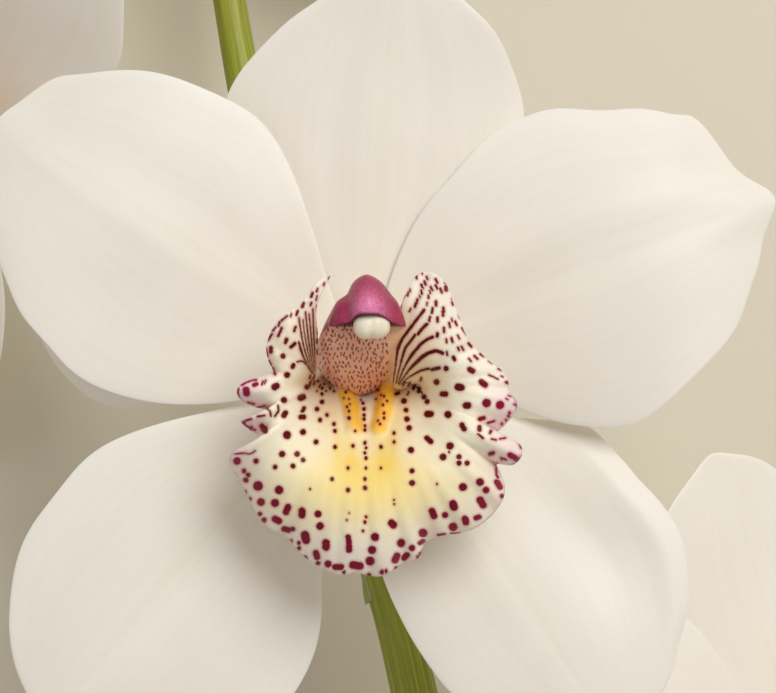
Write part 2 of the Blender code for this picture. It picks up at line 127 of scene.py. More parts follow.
# Soft hollows and swells of each tepal: place along, place across, reach along, reach across, height in mm
SWELLS = {
    "dorsal_sepal": (
        (0.5, 0.28, 0.4, 0.10, -0.22), (0.5, -0.30, 0.4, 0.10, -0.2), (0.6, 0.0, 0.4, 0.2, 0.25),
    ),
    "left_petal": (
        (0.5, 0.08, 0.5, 0.14, 0.25), (0.55, -0.25, 0.4, 0.2, -0.25), (0.45, 0.55, 0.3, 0.25, -0.3),
    ),
    "right_petal": (
        (0.55, 0.30, 0.4, 0.12, 0.22), (0.5, 0.05, 0.45, 0.12, -0.25), (0.93, 0.45, 0.07, 0.2, -0.5),
    ),
    "left_sepal": (
        (0.5, 0.0, 0.5, 0.07, -0.2), (0.55, 0.35, 0.4, 0.25, 0.25), (0.5, -0.4, 0.4, 0.25, 0.25),
    ),
    "right_sepal": (
        (0.60, 0.52, 0.17, 0.20, -1.8), (0.66, 0.88, 0.24, 0.10, 1.0), (0.45, -0.1, 0.4, 0.2, 0.3),
    ),
}

# Lip, in the solids' own numbers, and its outline read off the photograph at a finer step: right, down and
# how far it stands forward, from the tip of the left side lobe round to the tip of the right one
LIP_WALL, LIP_FOOT_WIDTH, LIP_FOOT_DROP, LIP_FOOT_Y = 0.8, 6.1, 1.6, -3.2
LIP_THROAT_Z, LIP_CREST_Z = 12.5, 27.5
CALLUS_HEIGHT, CALLUS_AT, CALLUS_REACH = 2.1, 0.14, 0.13
LIP_OUTLINE = (
    (329, 276, 20), (314, 284, 20), (300, 303, 20.5), (284, 315, 20.5), (272, 328, 20), (266, 346, 19.5),
    (268, 360, 18.5), (273, 373, 17), (256, 378, 18.5), (240, 385, 19.5), (238, 396, 19), (252, 406, 17),
    (272, 411, 15), (257, 417, 16.5), (241, 421, 18), (250, 430, 16), (260, 437, 14.5), (253, 449, 15.5),
    (236, 451, 17), (229, 460, 17), (234, 472, 15), (243, 487, 14), (252, 504, 14.5), (260, 519, 13.6),
    (272, 530, 14.6), (286, 536, 13.8), (297, 549, 14.8), (310, 561, 14), (326, 570, 15), (342, 576, 14.4),
    (356, 573, 15.2), (371, 576, 14.4), (386, 575, 15.2), (401, 565, 14.2), (418, 558, 15), (426, 542, 13.8),
    (442, 536, 15), (460, 533, 14), (477, 527, 14.8), (492, 515, 14), (502, 501, 14.8), (505, 487, 14.4),
    (501, 474, 15), (497, 464, 14.5), (512, 465, 16.5), (521, 457, 18), (521, 446, 17.5), (508, 438, 15.5),
    (491, 437, 14.5), (503, 427, 16.5), (514, 414, 18), (517, 403, 18.5), (509, 391, 18), (508, 380, 18.6),
    (501, 370, 18.4), (489, 361, 19.2), (477, 349, 19), (466, 335, 20), (459, 317, 19.6), (452, 299, 20.4),
    (446, 284, 20), (435, 274, 20.6), (424, 272, 20), (414, 277, 20),
)

# Spots of the lip, by where they lie, each as right, down and radius in the photograph's pixels
SPOTS = {
    "left lobe": (
        (303, 305, 1.8), (311, 304, 1.3), (312, 295, 1.6), (317, 290, 1.2), (324, 284, 1.0),
        (329, 278, 1.0), (297, 313, 1.6), (291, 315, 1.1), (279, 324, 1.5), (281, 330, 1.6),
        (279, 334, 1.6), (295, 329, 1.6), (286, 341, 2.0), (271, 348, 2.2), (271, 351.5, 2.2),
        (266, 353, 1.5), (283, 356, 2.7), (293, 366, 2.2), (287, 375, 3.0), (274.5, 387, 3.3),
        (276.5, 386, 3.3), (284, 400, 3.1), (300.5, 398, 3.1), (303, 397, 3.1), (246, 390, 3.5),
        (246.5, 393, 3.5), (254, 385, 2.1), (256.5, 384, 2.1), (262.5, 383, 1.3), (265, 382, 1.3),
        (285.5, 413, 2.7), (284, 415.5, 2.7), (304, 408, 1.9), (302.5, 411, 1.9), (301, 417, 2.7),
        (303.5, 417, 2.7), (307, 387, 2.4), (310, 384, 1.6), (310, 377, 1.1), (314, 377, 1.1),
        (314, 383, 1.2), (320, 386, 1.1),
    ),
    "left middle": (
        (312, 380, 1.0), (318, 381, 1.0), (324, 384, 1.0), (330, 388, 1.1), (334, 391, 1.0),
        (326, 391, 0.9), (317, 391, 0.9), (322, 388, 1.6), (322, 394, 1.6), (322, 402, 2.2),
        (317, 409, 2.3), (327, 415, 1.8), (320, 420, 2.2), (244, 423, 2.0), (251, 428, 2.2),
        (264, 429, 3.3), (287, 435, 4.1), (303, 432, 3.0), (316, 442, 2.5), (334, 424, 1.9),
        (335, 431, 1.9), (335, 447, 2.0), (353, 446, 1.8), (355, 431, 1.3), (282, 454, 3.2),
        (297, 454, 2.8), (303, 460, 2.4), (293, 466, 2.4), (275, 467, 2.4), (256, 461, 2.7),
        (237, 461, 3.7), (332, 479, 2.0), (348, 468, 1.6), (348, 490, 2.3), (310, 489, 0.9),
        (347, 520, 0.9), (349, 513, 0.8),
    ),
    "right middle": (
        (404, 401, 2.9), (406, 410, 2.4), (407, 419, 2.8), (409, 428, 2.8), (411, 450, 3.2),
        (412, 471, 2.6), (412, 483, 2.9), (394, 433, 1.7), (394, 442, 1.6), (381, 447, 1.9),
        (381, 468, 1.3), (394, 500, 1.0), (394, 504, 1.0), (437, 484, 0.9), (427.5, 414, 3.3),
        (430.5, 414, 3.3), (427, 438, 2.7), (431, 441.5, 2.7), (450, 446, 3.7), (443, 457, 3.5),
        (449, 452, 1.1), (459, 457, 2.7), (459, 463, 2.6), (467, 463, 2.6), (448, 414.5, 3.6),
        (462, 425, 2.7), (464, 429, 2.5), (480, 419, 2.1), (483.5, 418, 2.1), (479.5, 427, 2.1),
        (479.5, 430, 2.1), (491, 431, 1.4), (490, 433, 1.4), (509.5, 413, 1.5), (508.5, 416, 1.5),
        (506, 420, 1.3), (502, 424, 1.3),
    ),
    "right lobe": (
        (416.5, 277, 1.3), (422, 273, 1.0), (427, 278, 1.1), (425, 283, 1.4), (422, 286.5, 1.5),
        (436.5, 281, 1.6), (431.5, 288.5, 1.5), (436.5, 287, 1.5), (441, 290.5, 1.6), (446, 287, 2.0),
        (446, 290, 2.0), (446.5, 284, 1.5), (421.5, 292, 1.4), (430, 292, 1.1), (428.5, 296.5, 1.3),
        (420, 296.5, 1.0), (408, 294, 1.3), (410, 290.5, 1.0), (404, 296.5, 1.1), (401, 301, 1.1),
        (417, 301.5, 1.5), (415.5, 305, 1.5), (427, 304, 1.0), (436, 303.5, 1.8), (410, 310, 1.2),
        (443.5, 310, 1.7), (443, 313.5, 1.7), (452.5, 300, 1.1), (452.5, 303.5, 1.1), (437.5, 319.5, 1.6),
        (449.5, 325, 1.5), (452, 320, 1.0), (456, 323.5, 1.5), (459.5, 317, 1.0), (444, 330, 1.6),
        (446.5, 341, 1.2), (452, 340, 1.6), (458.5, 337, 1.3), (463.5, 330.5, 1.2), (471, 339, 1.3),
        (470, 345, 1.6), (478, 347.5, 1.3), (458.5, 349, 1.2), (462.5, 348.5, 1.4), (482, 355, 1.6),
        (476, 357.5, 1.6), (470, 360, 1.3), (447, 353.5, 1.3), (453.5, 357.5, 1.9), (454.5, 359.5, 1.9),
        (490.5, 362, 1.3), (500, 369.5, 1.3), (502, 376.5, 0.9), (508, 383, 1.7), (470, 369.5, 2.9),
        (472.5, 371, 2.9), (446, 368.5, 2.5), (436.5, 382, 2.9), (458, 387, 3.6), (461, 387.5, 3.6),
        (481.5, 382, 3.0), (485, 385, 3.0), (442.5, 394, 2.8), (445.5, 394, 2.8), (509.5, 396, 0.9),
        (507, 399, 0.9), (515.5, 405, 1.2), (466, 405.5, 3.4), (468, 405.5, 3.4), (486.5, 403, 4.3),
        (500, 405, 4.2), (421, 379, 1.1), (404, 383.5, 1.5), (409, 384.5, 1.5), (414, 387, 1.6),
        (419, 390, 2.0), (424, 397, 2.5), (427, 401.5, 2.6), (396, 394, 1.5), (398.5, 393, 1.5),
        (408, 393.5, 1.1),
    ),
    "keels": (
        (347, 407, 1.3), (349, 411, 1.3), (349, 418, 1.7), (346, 392, 1.3), (343, 387, 1.3),
        (349, 399, 1.0), (384, 396, 1.3), (387, 401, 1.1), (383, 405, 1.3), (384, 413, 1.4),
        (384, 418, 1.5), (378, 390, 1.2), (376, 399, 1.0), (378, 421, 1.3), (380, 424, 1.3),
        (381, 395, 0.9), (350, 404, 0.9), (344, 398, 0.9),
    ),
    "middle row": (
        (361, 400, 1.0), (363, 403, 1.6), (364, 409, 1.9), (364, 415, 1.7), (364, 419, 1.7),
        (365, 426, 1.6), (365, 430, 1.7), (365, 443, 1.7), (366, 448, 1.5), (365, 453, 1.5),
        (366, 458, 1.7), (366, 468, 1.4), (365, 479, 1.8), (365, 488, 2.2), (366, 517, 1.4),
        (365, 522, 1.8), (363, 531, 1.3),
    ),
    "margin": (
        (244, 471, 2.3), (248, 475, 2.4), (246, 480, 2.7), (258, 486, 4.8), (279, 490, 4.3),
        (245, 492, 1.9), (250, 499, 1.7), (261, 502, 3.8), (275, 503, 4.1), (288, 507, 3.0),
        (286, 512, 3.6), (302, 511, 3.6), (302, 515, 3.6), (318, 514, 3.5), (320, 526, 3.8),
        (260, 514, 2.2), (264, 520, 2.6), (275, 519, 3.2), (279, 521, 3.4), (284, 529, 2.6),
        (289, 530, 2.8), (293, 529, 1.8), (305, 535, 4.0), (306, 540, 4.3), (326, 543, 3.8),
        (326, 547, 3.9), (291, 541, 1.8), (299, 543, 1.9), (299, 548, 2.0), (305, 558, 2.4),
        (316, 553, 3.5), (317, 557, 2.8), (318, 563, 2.4), (328, 564, 3.6), (335, 567, 4.0),
        (341, 567, 2.1), (353, 565, 3.8), (360, 566, 4.0), (344, 572, 1.7), (369, 575, 2.0),
        (348, 537, 2.7), (349, 542, 2.8), (349, 546, 3.0), (349, 550, 3.2), (370, 561, 4.5),
        (372, 550, 4.1), (375, 537, 4.1), (391.5, 523, 3.7), (393.5, 525, 3.7), (401, 543, 4.1),
        (397, 556, 3.5), (395, 560, 3.6), (407, 555, 2.9), (404, 558, 2.9), (412, 548, 3.1),
        (423, 533, 4.3), (423, 541, 2.2), (420, 543, 2.2), (420, 554, 1.7), (418, 557, 1.8),
        (382, 572, 2.3), (386, 571, 1.8), (396, 568, 1.7), (432, 511, 3.4), (434, 516, 3.4),
        (445, 515, 3.1), (453, 504, 4.2), (454, 507, 3.8), (453, 527, 4.3), (465, 519, 3.3),
        (466, 522, 3.5), (476, 518, 2.6), (479, 517, 2.7), (480, 482, 3.9), (486, 490, 3.3),
        (480, 500, 4.0), (483, 505, 3.3), (463, 487, 4.1), (497, 482, 3.0), (500, 487, 2.9),
        (502, 496, 2.2), (493, 453, 2.0), (490, 454, 2.0), (510, 455, 2.6), (514, 457, 3.0),
        (518, 460, 2.4), (502, 459, 1.4),
    ),
}

# Where the veins of each side lobe come together
THROAT_CORNERS = {"left lobe": (313.0, 378.0), "right lobe": (393.0, 386.0)}

# Stripes that fan out over the side lobes from the two corners of the throat, and dashes along the frills,
# each as the points that it runs through and its radius, in the photograph's pixels
STRIPES = {
    "left lobe": (
        (((317, 296), (316, 300)), 0.7), (((317, 306), (317, 312)), 0.8), (((318, 317), (318, 323)), 0.9),
        (((318, 328), (318, 334)), 1.0), (((317, 339), (317, 343)), 0.8), (((317, 350), (317, 354)), 0.7),
        (((313, 309), (313.5, 330), (314.5, 350), (315, 371)), 0.65),
        (((309, 314), (310.8, 332), (312.3, 350), (314.3, 370)), 0.6),
        (((305.5, 312), (307.5, 332), (310, 350), (313.4, 371)), 0.7),
        (((303, 320), (304.6, 334), (307.6, 350), (312.3, 371)), 0.6),
        (((299, 318), (301, 332), (304.6, 350), (311, 369)), 0.8), (((291, 347), (295, 343.5)), 1.8),
        (((299, 342.5), (300, 346), (303, 356), (309, 367), (313.8, 374)), 1.2),
        (((297.5, 362), (302.3, 361), (307, 365.5), (312, 373.4)), 1.3),
    ),
    "right lobe": (
        (((401, 305), (399, 315)), 0.7), (((397.5, 324), (396.5, 332)), 0.8),
        (((395.5, 340), (395, 348)), 0.8), (((394, 356), (392.5, 364)), 0.7),
        (((391.5, 371), (390.5, 378)), 0.8),
        (((392.5, 385), (395, 370), (397.5, 351), (401.7, 340), (408, 331), (418, 318), (424, 310)), 1.5),
        (((396, 383), (400, 366), (405, 349), (410, 342), (415, 335)), 1.4),
        (((418, 334), (422, 329), (427, 324)), 1.6), (((429, 321), (430, 317)), 1.2),
        (((432, 313), (432.5, 308)), 1.2),
        (((398, 383), (404, 368), (411.7, 355), (416.7, 349), (421, 344), (427, 339.5), (433, 337)), 1.6),
        (((437, 336), (437.5, 334)), 1.8),
        (((399, 384), (409, 370), (416.7, 362), (425, 355), (435, 351), (442.5, 353)), 1.9),
        (((403, 382), (409, 377), (415, 373.7), (422, 370), (429, 368.7)), 1.3),
        (((432, 369.5), (439, 368)), 1.8), (((489, 375), (498, 379)), 0.9),
        (((400, 384), (407, 382.5), (413, 385.5), (419, 389), (424, 396.5), (428, 402)), 0.9),
    ),
    "frills": (
        (((287, 316), (281, 321)), 1.1), (((276, 327), (273, 331)), 1.1), (((272, 334), (268, 340)), 1.2),
        (((266, 349), (267, 356)), 1.4), (((269, 361), (271, 365)), 1.2), (((272.5, 368), (275, 374)), 1.3),
        (((242, 385), (249, 381), (256, 380)), 1.1), (((238, 389), (237.5, 393), (238.5, 398)), 1.3),
        (((248, 402.4), (254, 404)), 0.9), (((257.5, 407.5), (264.5, 406)), 0.9),
        (((267, 408.5), (270, 411), (271, 416)), 0.9), (((278, 405.5), (278.6, 411), (275, 416)), 1.0),
        (((257.5, 416.5), (264.5, 415.5)), 1.0),
        (((251, 419), (245, 421), (244, 424), (250, 428), (255, 430)), 1.1),
        (((262, 426), (265, 431)), 2.6), (((462, 328), (466, 334)), 1.0), (((478, 434), (483, 438)), 1.1),
        (((488, 423), (494, 421)), 1.1), (((492, 439), (496, 440)), 1.0), (((500, 439), (505, 438)), 1.0),
        (((516, 438), (519, 442), (521, 448)), 0.9), (((497, 465), (496, 472), (498, 478)), 1.2),
        (((501, 458), (506, 459.5)), 1.0), (((514, 465), (519, 463)), 1.0), (((438, 535), (445, 534)), 1.0),
        (((451, 533), (459, 533)), 0.7), (((235, 454), (243, 453), (250, 454), (255, 451)), 0.7),
        (((424, 549), (421, 553)), 1.0),
    ),
}

# Inner margins of the two side lobes from the foot to the tip, at even steps of a rib: right, down and
# forward. The two keels on the disc, as the points that each runs through, their height and their reach
LEFT_MARGIN = (
    (313, 384, 4), (313, 380, 9), (317, 366, 14.4), (318, 338, 18.2), (317, 306, 20.2), (331, 275, 20.0),
)
RIGHT_MARGIN = (
    (404, 386, 4), (396, 388, 9), (393, 377, 14.6), (396, 350, 18.6), (400, 309, 20.6), (414, 277, 20.0),
)
KEELS = (((343, 384), (349, 405), (354, 432)), ((388, 385), (386, 405), (379, 432)))
KEEL_HEIGHT, KEEL_REACH = 1.2, 6.5

# Coloured washes of the lip: middle, reach right and down in the photograph's pixels, and strength
LEMON = (
    (370, 488, 92, 32, 0.60), (368, 474, 48, 22, 0.72), (366, 510, 54, 24, 0.32), (337, 452, 6, 26, 0.6),
    (350, 455, 8, 22, 0.6), (382, 455, 8, 22, 0.65), (393, 448, 7, 28, 0.65), (366, 432, 24, 22, 0.35),
    (328, 412, 14, 26, 0.35), (402, 412, 12, 26, 0.4), (420, 375, 26, 16, 0.25), (300, 440, 40, 40, 0.12),
    (430, 430, 40, 40, 0.12),
)
GOLD = (
    (347, 394, 8, 15, 0.95), (352, 411, 8, 13, 0.92), (357, 426, 6.5, 9, 0.85), (386, 394, 9, 14, 0.95),
    (383, 411, 9, 14, 0.92), (379, 427, 6.5, 9, 0.85), (350, 466, 8, 9, 0.25), (386, 466, 9, 9, 0.25),
)
# Brownish wash by the throat and inner lobes: partly the lip's own colour, partly painted shade in the
# recess
TAN_AND_SHADE = (
    (311, 350, 9, 34, 0.75), (316, 381, 16, 9, 0.8), (329, 385, 11, 6.5, 0.7), (398, 374, 12, 26, 0.8),
    (415, 348, 20, 24, 0.65), (402, 330, 8, 24, 0.5), (330, 400, 16, 14, 0.2), (400, 398, 12, 14, 0.25),
    (286, 350, 16, 24, 0.22), (290, 376, 14, 12, 0.14),
)

# How far a drawn out spot of a side lobe leans to the right for each step down, by how far right it lies
LEANS = {
    "left lobe": ((240, 330), (-0.35, -0.35)),
    "right lobe": ((405, 420, 445, 460, 475, 495), (-0.6, -0.2, 0.1, 0.5, 1.0, 2.2)),
}

# Column: for cross-sections from its foot to the underside of its hood, where the middle is to the right,
# up and forward, the tilt of its back from straight forward, half width, height of back and depth of front
COLUMN = (
    (-0.7, -1.2, 2.15, 90.0, 5.3, 3.0, 3.3), (-0.9, -0.3, 8.0, 97.0, 5.5, 3.2, 4.3),
    (-0.9, 1.5, 14.0, 103.0, 5.4, 3.6, 3.9), (-0.4, 3.4, 19.5, 102.0, 5.1, 4.9, 2.7),
    (0.3, 4.3, 22.6, 90.0, 4.9, 6.6, 1.3), (0.5, 4.4, 23.4, 60.0, 4.9, 6.4, 0.7),
    (0.6, 4.4, 23.6, 30.0, 4.8, 5.9, 0.4), (0.65, 4.4, 23.6, 2.0, 4.75, 5.4, 0.3),
)

# The hood: how pointed its back is, how far its rim arches and its waist is drawn in, and, ring by ring
# from the rim inwards, the share that is left of its width and how deep the ring lies
HOOD_POINT, HOOD_ARCH, HOOD_WAIST = 1.6, 1.35, 0.2
HOOD_HOLLOW = ((0.93, 0.05), (0.86, 0.5), (0.7, 1.3), (0.4, 1.7))

# The anther cap's middle and its radii to the right, up and forward
CAP_CENTRE, CAP_RADII = (1.03, 4.45, 26.4), (2.35, 1.75, 2.0)

# Dashes on the column's flat face: their spacing and bounds in the photograph's pixels
DASH_GAP, DASH_LEFT, DASH_RIGHT, DASH_TOP, DASH_BOTTOM = 4.7, 314.0, 387.0, 325.0, 402.0

# Blooms, in the solids' own numbers: where they leave the stem, centre, lean, nod, roll, size and whether
# they are mirrored. The others' tepals swing and stretch a little from the closest one's. A centre without
# a height is set down on the ground
SWING, STRETCH = 3.0, 0.03
BLOOMS = {
    "bloom_1": (118.0, (-47.0, 128.0), -38.0, 8.0, -6.0, 0.96, True),
    "bloom_2": (178.0, (48.0, 190.0), 38.0, 6.0, 10.0, 0.98, False),
    "bloom_3": (238.0, (6.0, 262.0, 80.0), 4.0, 8.0, -15.0, 1.0, False),
    "bloom_4": (298.0, (-48.0, 322.0), -38.0, 4.0, -4.0, 0.95, True),
    "bloom_5": (358.0, (46.0, 388.0), 38.0, 2.0, 12.0, 0.9, False),
}
FINE_BLOOM = "bloom_3"

# Buds, in the solids' own numbers: where they leave the stem, root, direction, length and width
BUDS = {
    "bud_1": (404.0, (-16.0, 432.0, 40.0), (-0.55, 0.62, 0.56), 36.0, 7.6),
    "bud_2": (430.0, (13.0, 452.0, 41.0), (0.50, 0.74, 0.45), 31.0, 6.6),
    "bud_3": (TIP_Y, (2.0, 474.0, 34.0), (0.05, 0.90, 0.44), 25.0, 5.2),
}

# Grid steps of a tepal, a lip, a column and an anther cap, in the closest bloom and in the others
FINE_STEPS = ((120, 90), (96, 480), (120, 110), (64,))
PLAIN_STEPS = ((56, 40), (48, 200), (56, 48), (32,))

# Grid steps along and across the stem, a stalk, a bract, a sheath and a bud
STEM_STEPS, STALK_STEPS, BRACT_STEPS, SHEATH_STEPS = (240, 72), (56, 36), (26, 21), (56, 97)
BUD_STEPS = (78, 84)

# Radii of a flower's stalk and a bud's stalk, by the share of the way along it, and the height of the ribs
OVARY_RADII, OVARY_RIBS = ((0.0, 0.45, 0.75, 1.0), (1.9, 2.0, 2.9, 3.4)), 0.05
BUD_STALK_RADII, BUD_STALK_RIBS = ((0.0, 1.0), (1.3, 1.7)), 0.02

# Attributes that hold places, and the settings of a node that mixes two colours
PLACES = ("vein", "grain", "seen", "mark_start", "mark_end")
COLOURS = {"data_type": "RGBA", "out": 2}

# Stage: half the width of the pale surface, the surround's colour and strength, the lamps' colour and the
# point that they face, and each lamp's place, width in metres and power in watts
SURFACE_REACH = 3.0
SURROUND_COLOUR, SURROUND_STRENGTH = (1.0, 0.965, 0.90, 1.0), 0.40
LAMP_COLOUR, LAMPS_FACE = (1.0, 0.995, 0.975), (0.0, 0.02, 0.06)
LAMPS = (
    ("key_light", (1.50, 0.84, 2.55), 1.7, 60.0),
    ("fill_light", (-1.8, 0.2, 2.4), 2.4, 6.0),
)


def smooth(x):
    """0 before 0 and 1 after 1, with an even ease between."""
    x = np.clip(x, 0.0, 1.0)
    return x * x * (3.0 - 2.0 * x)


def bell(x, reach):
    """1 at 0, and falling away on either side, to 0.37 at its reach."""
    return np.exp(-((x / reach) ** 2))


def grid(steps, end=1.0):
    """Places along, from 0 to the end, and across, from -1 to 1, in so many rows and columns."""
    return np.meshgrid(np.linspace(0, end, steps[0]), np.linspace(-1, 1, steps[1]), indexing="ij")


def unit(vector):
    """A vector at a length of 1."""
    return np.asarray(vector, float) / np.linalg.norm(vector)


def bezier(points, s):
    """Points of a cubic curve with four control points, at each share s of its way."""
    a, b, c, d = (np.asarray(p, float) for p in points)
    s = np.asarray(s, float)[:, None]
    return a * (1 - s) ** 3 + 3 * b * s * (1 - s) ** 2 + 3 * c * s * s * (1 - s) + d * s**3


def curve_through(knots, at):
    """A curve through evenly numbered knots, at places from 0 to 1: cubics that meet without a kink."""
    knots = np.asarray(knots, float)
    last = len(knots) - 1
    place = np.clip(np.asarray(at, float), 0.0, 1.0) * last
    i = np.minimum(place.astype(int), last - 1)
    f = (place - i)[:, None]
    before, here, there, after = (knots[np.clip(i + k, 0, last)] for k in (-1, 0, 1, 2))
    return 0.5 * (
        2 * here
        + (there - before) * f
        + (2 * before - 5 * here + 4 * there - after) * f**2
        + (3 * here - before - 3 * there + after) * f**3
    )


def evened_out(knots, reach):
    """Each knot as the mean of its neighbours up to reach away, with both ends carried on straight."""
    ends = np.pad(knots, ((reach, reach), (0, 0)), mode="reflect", reflect_type="odd")
    return sum(ends[k : k + len(knots)] for k in range(2 * reach + 1)) / (2 * reach + 1)


def from_photo(places):
    """Points of the closest bloom, in its own frame, from pixels right and down and millimetres forward."""
    places = np.asarray(places, float)
    seen = (places[:, :2] - PHOTO_CENTRE) * PIXEL
    nearer = (CAMERA_DISTANCE - places[:, 2:]) / CAMERA_DISTANCE
    return np.column_stack([AIM + (seen - AIM) * nearer, places[:, 2]])


def to_photo(points):
    """Pixels right and down at which the camera sees points of the closest bloom."""
    nearer = CAMERA_DISTANCE / (CAMERA_DISTANCE - points[..., 2:])
    seen = AIM + (points[..., :2] - AIM) * nearer
    return seen / PIXEL + PHOTO_CENTRE


def normals_of(sheet):
    """Unit normals of a sheet: the cross product of its two directions."""
    across = np.cross(np.gradient(sheet, axis=0), np.gradient(sheet, axis=1))
    return across / np.maximum(np.linalg.norm(across, axis=2), 1e-12)[..., None]


def shell_of(sheet, half):
    """Points and faces of a closed shell: a sheet moved half a wall both ways, and a strip round its rim."""
    aside = normals_of(sheet) * half[..., None]
    rows, columns = sheet.shape[:2]
    count = rows * columns
    points = np.concatenate([(sheet + aside).reshape(-1, 3), (sheet - aside).reshape(-1, 3)])
    at = np.arange(count).reshape(rows, columns)
    front = np.stack([at[:-1, :-1], at[1:, :-1], at[1:, 1:], at[:-1, 1:]], axis=-1).reshape(-1, 4)
    rim = np.concatenate([at[:-1, 0], at[-1, :-1], at[:0:-1, -1], at[0, :0:-1]])
    after = np.roll(rim, -1)
    strip = np.stack([after, rim, rim + count, after + count], axis=-1)
    return points, [front, front[:, ::-1] + count, strip]


def tube_of(rings):
    """Points and faces of a closed tube: rings joined in order, and a fan to a middle point at both ends."""
    count, sides = rings.shape[:2]
    at = np.arange(count * sides).reshape(count, sides)
    after = np.roll(at, -1, axis=1)
    walls = np.stack([at[:-1], at[1:], after[1:], after[:-1]], axis=-1).reshape(-1, 4)
    first = np.full(sides, count * sides)
    start = np.stack([at[0], after[0], first], axis=-1)
    end = np.stack([after[-1], at[-1], first + 1], axis=-1)
    points = np.concatenate([rings.reshape(-1, 3), rings[[0, -1]].mean(axis=1)])
    return points, [walls, start, end]


def volume_of(points, faces):
    """Signed volume of a closed mesh, negative where its faces point inwards."""
    total = 0.0
    for group in faces:
        for k in range(1, group.shape[1] - 1):
            a, b, c = points[group[:, 0]], points[group[:, k]], points[group[:, k + 1]]
            total += np.einsum("ij,ij->i", a, np.cross(b, c)).sum()
    return total / 6


def add_piece(name, shape, finish, values=None, node=None, place=None, on_faces=None):
    """One piece of the part, from points in millimetres and faces, with values at its points and faces.

    It is moved to its place, and its faces are turned outwards.
    """
    points, faces = shape
    if place is not None:
        directions, centre = place
        points = points @ directions.T + centre
    points = points - FOOTPRINT_MIDDLE
    points[:, 2] = np.maximum(points[:, 2], LEAST_HEIGHT)
    if volume_of(points, faces) < 0:
        faces = [group[:, ::-1] for group in faces]
    mesh = bpy.data.meshes.new(name)
    mesh.from_pydata((points * MM).tolist(), [], [face for group in faces for face in group.tolist()])
    for where, kept in (("POINT", values or {}), ("FACE", on_faces or {})):
        for label, value in kept.items():
            value = np.asarray(value, np.float32)
            kind, field = ("FLOAT", "value") if value.ndim == 1 else ("FLOAT_VECTOR", "vector")
            mesh.attributes.new(label, kind, where).data.foreach_set(field, value.ravel())
    mesh.materials.append(finish)
    mesh.shade_smooth()
    made = bpy.data.objects.new(name, mesh)
    bpy.context.scene.collection.objects.link(made)
    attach(made, "root")
    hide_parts(node or name)


def both_faces(**values):
    """Values of a sheet's points, repeated for the shell's front and back."""
    return {
        label: np.concatenate([value.reshape(-1, *value.shape[2:])] * 2)
        for label, value in values.items()
    }


def with_middles(**values):
    """Values of a tube's points, with one more for each end's middle point."""
    return {
        label: np.concatenate([value.reshape(-1, *value.shape[2:]), value[[0, -1]].mean(axis=1)])
        for label, value in values.items()
    }


def tepal_form(u, v, numbers, outline=PLAIN_OUTLINE, uneven=1.0):
    """A plain tepal as a sheet, u from root to tip and v from its clockwise to its anticlockwise edge.

    Each side swells as a sine from a narrow root to its half width and rounds off to the tip, with a bell in
    u added for each place where its outline stands out or is drawn in. Its height is the sum of a bulge, a
    lift of the tip, a fall of the edges and a twist.
    """
    direction, length, left, right, layer, (bulge, tip, fall, twist, nose) = numbers
    on_left, on_right, longer = outline

    def side_width(bells, width, widest, swell, fullness):
        near = ROOT_SHARE + (1 - ROOT_SHARE) * np.sin(np.pi / 2 * np.clip(u / widest, 0, 1)) ** swell
        past = np.clip((u - widest) / (1 - widest), 0, 1)
        plain = width * np.where(u < widest, near, (1 - past**fullness) ** (1 / fullness))
        return plain + sum(more * bell(u - at, reach) for at, reach, more in bells) * np.sqrt(1 - u**24)

    y = v * np.where(v > 0, side_width(on_left, *left), side_width(on_right, *right)) * uneven
    x = TEPAL_ROOT + (length + longer - TEPAL_ROOT) * u + nose * bell(y, NOSE_WIDTH) * smooth(5 * u - 4)
    out = (y / max(left[0], right[0])) ** 2
    z = layer + bulge * 6.75 * u**2 * (1 - u) + tip * u**3 - fall * out * smooth(2 * u) + twist * y * u
    cos, sin = math.cos(math.radians(direction)), math.sin(math.radians(direction))
    return np.stack([x * cos - y * sin, x * sin + y * cos, z], axis=-1)


def tepal_sheet(u, v, numbers, swells, outline, phase):
    """A tepal as a sheet with an uneven edge and its low relief.

    The relief is the sum of soft swells, each a bell in u and v, a fine groove along the midrib and a slow
    wave that grows towards the edge.
    """
    uneven = 0.012 * np.sin(9.0 * u + phase) + 0.006 * np.sin(23.0 * u + 2 * phase)
    sheet = tepal_form(u, v, numbers, outline, 1 + uneven * smooth(4 * u - 1))
    ease = smooth(3 * u) * smooth(6 * (1 - u))
    wave = EDGE_WAVE * np.abs(v) ** 4 * np.sin(10.0 * u + phase + 1.3 * np.sign(v))
    relief = wave - MIDRIB_DEPTH * bell(v, MIDRIB_REACH)
    for at_u, at_v, reach_u, reach_v, height in swells:
        relief = relief + height * bell(u - at_u, reach_u) * bell(v - at_v, reach_v)
    sheet[..., 2] += ease * relief
    return sheet


def tepal_numbers(bloom):
    """Each tepal's numbers in one bloom: as listed in the closest one, a little off in the others."""
    found = {}
    for i, (piece, (direction, length, *rest)) in enumerate(TEPALS.items()):
        off = 0.0 if bloom == FINE_BLOOM else math.sin(7.0 * list(BLOOMS).index(bloom) + 4.0 * i)
        found[piece] = (direction + SWING * off, length * (1 - STRETCH * off), *rest)
    return found


def plain_tepal_low(bloom, directions):
    """The lowest height of a bloom's tepals about its centre, as the solids have them."""
    share, v = grid((33, 33))
    u = np.sin(np.pi / 2 * share)
    forms = [tepal_form(u, v, numbers) for numbers in tepal_numbers(bloom).values()]
    return min((form @ directions.T)[..., 2].min() for form in forms)


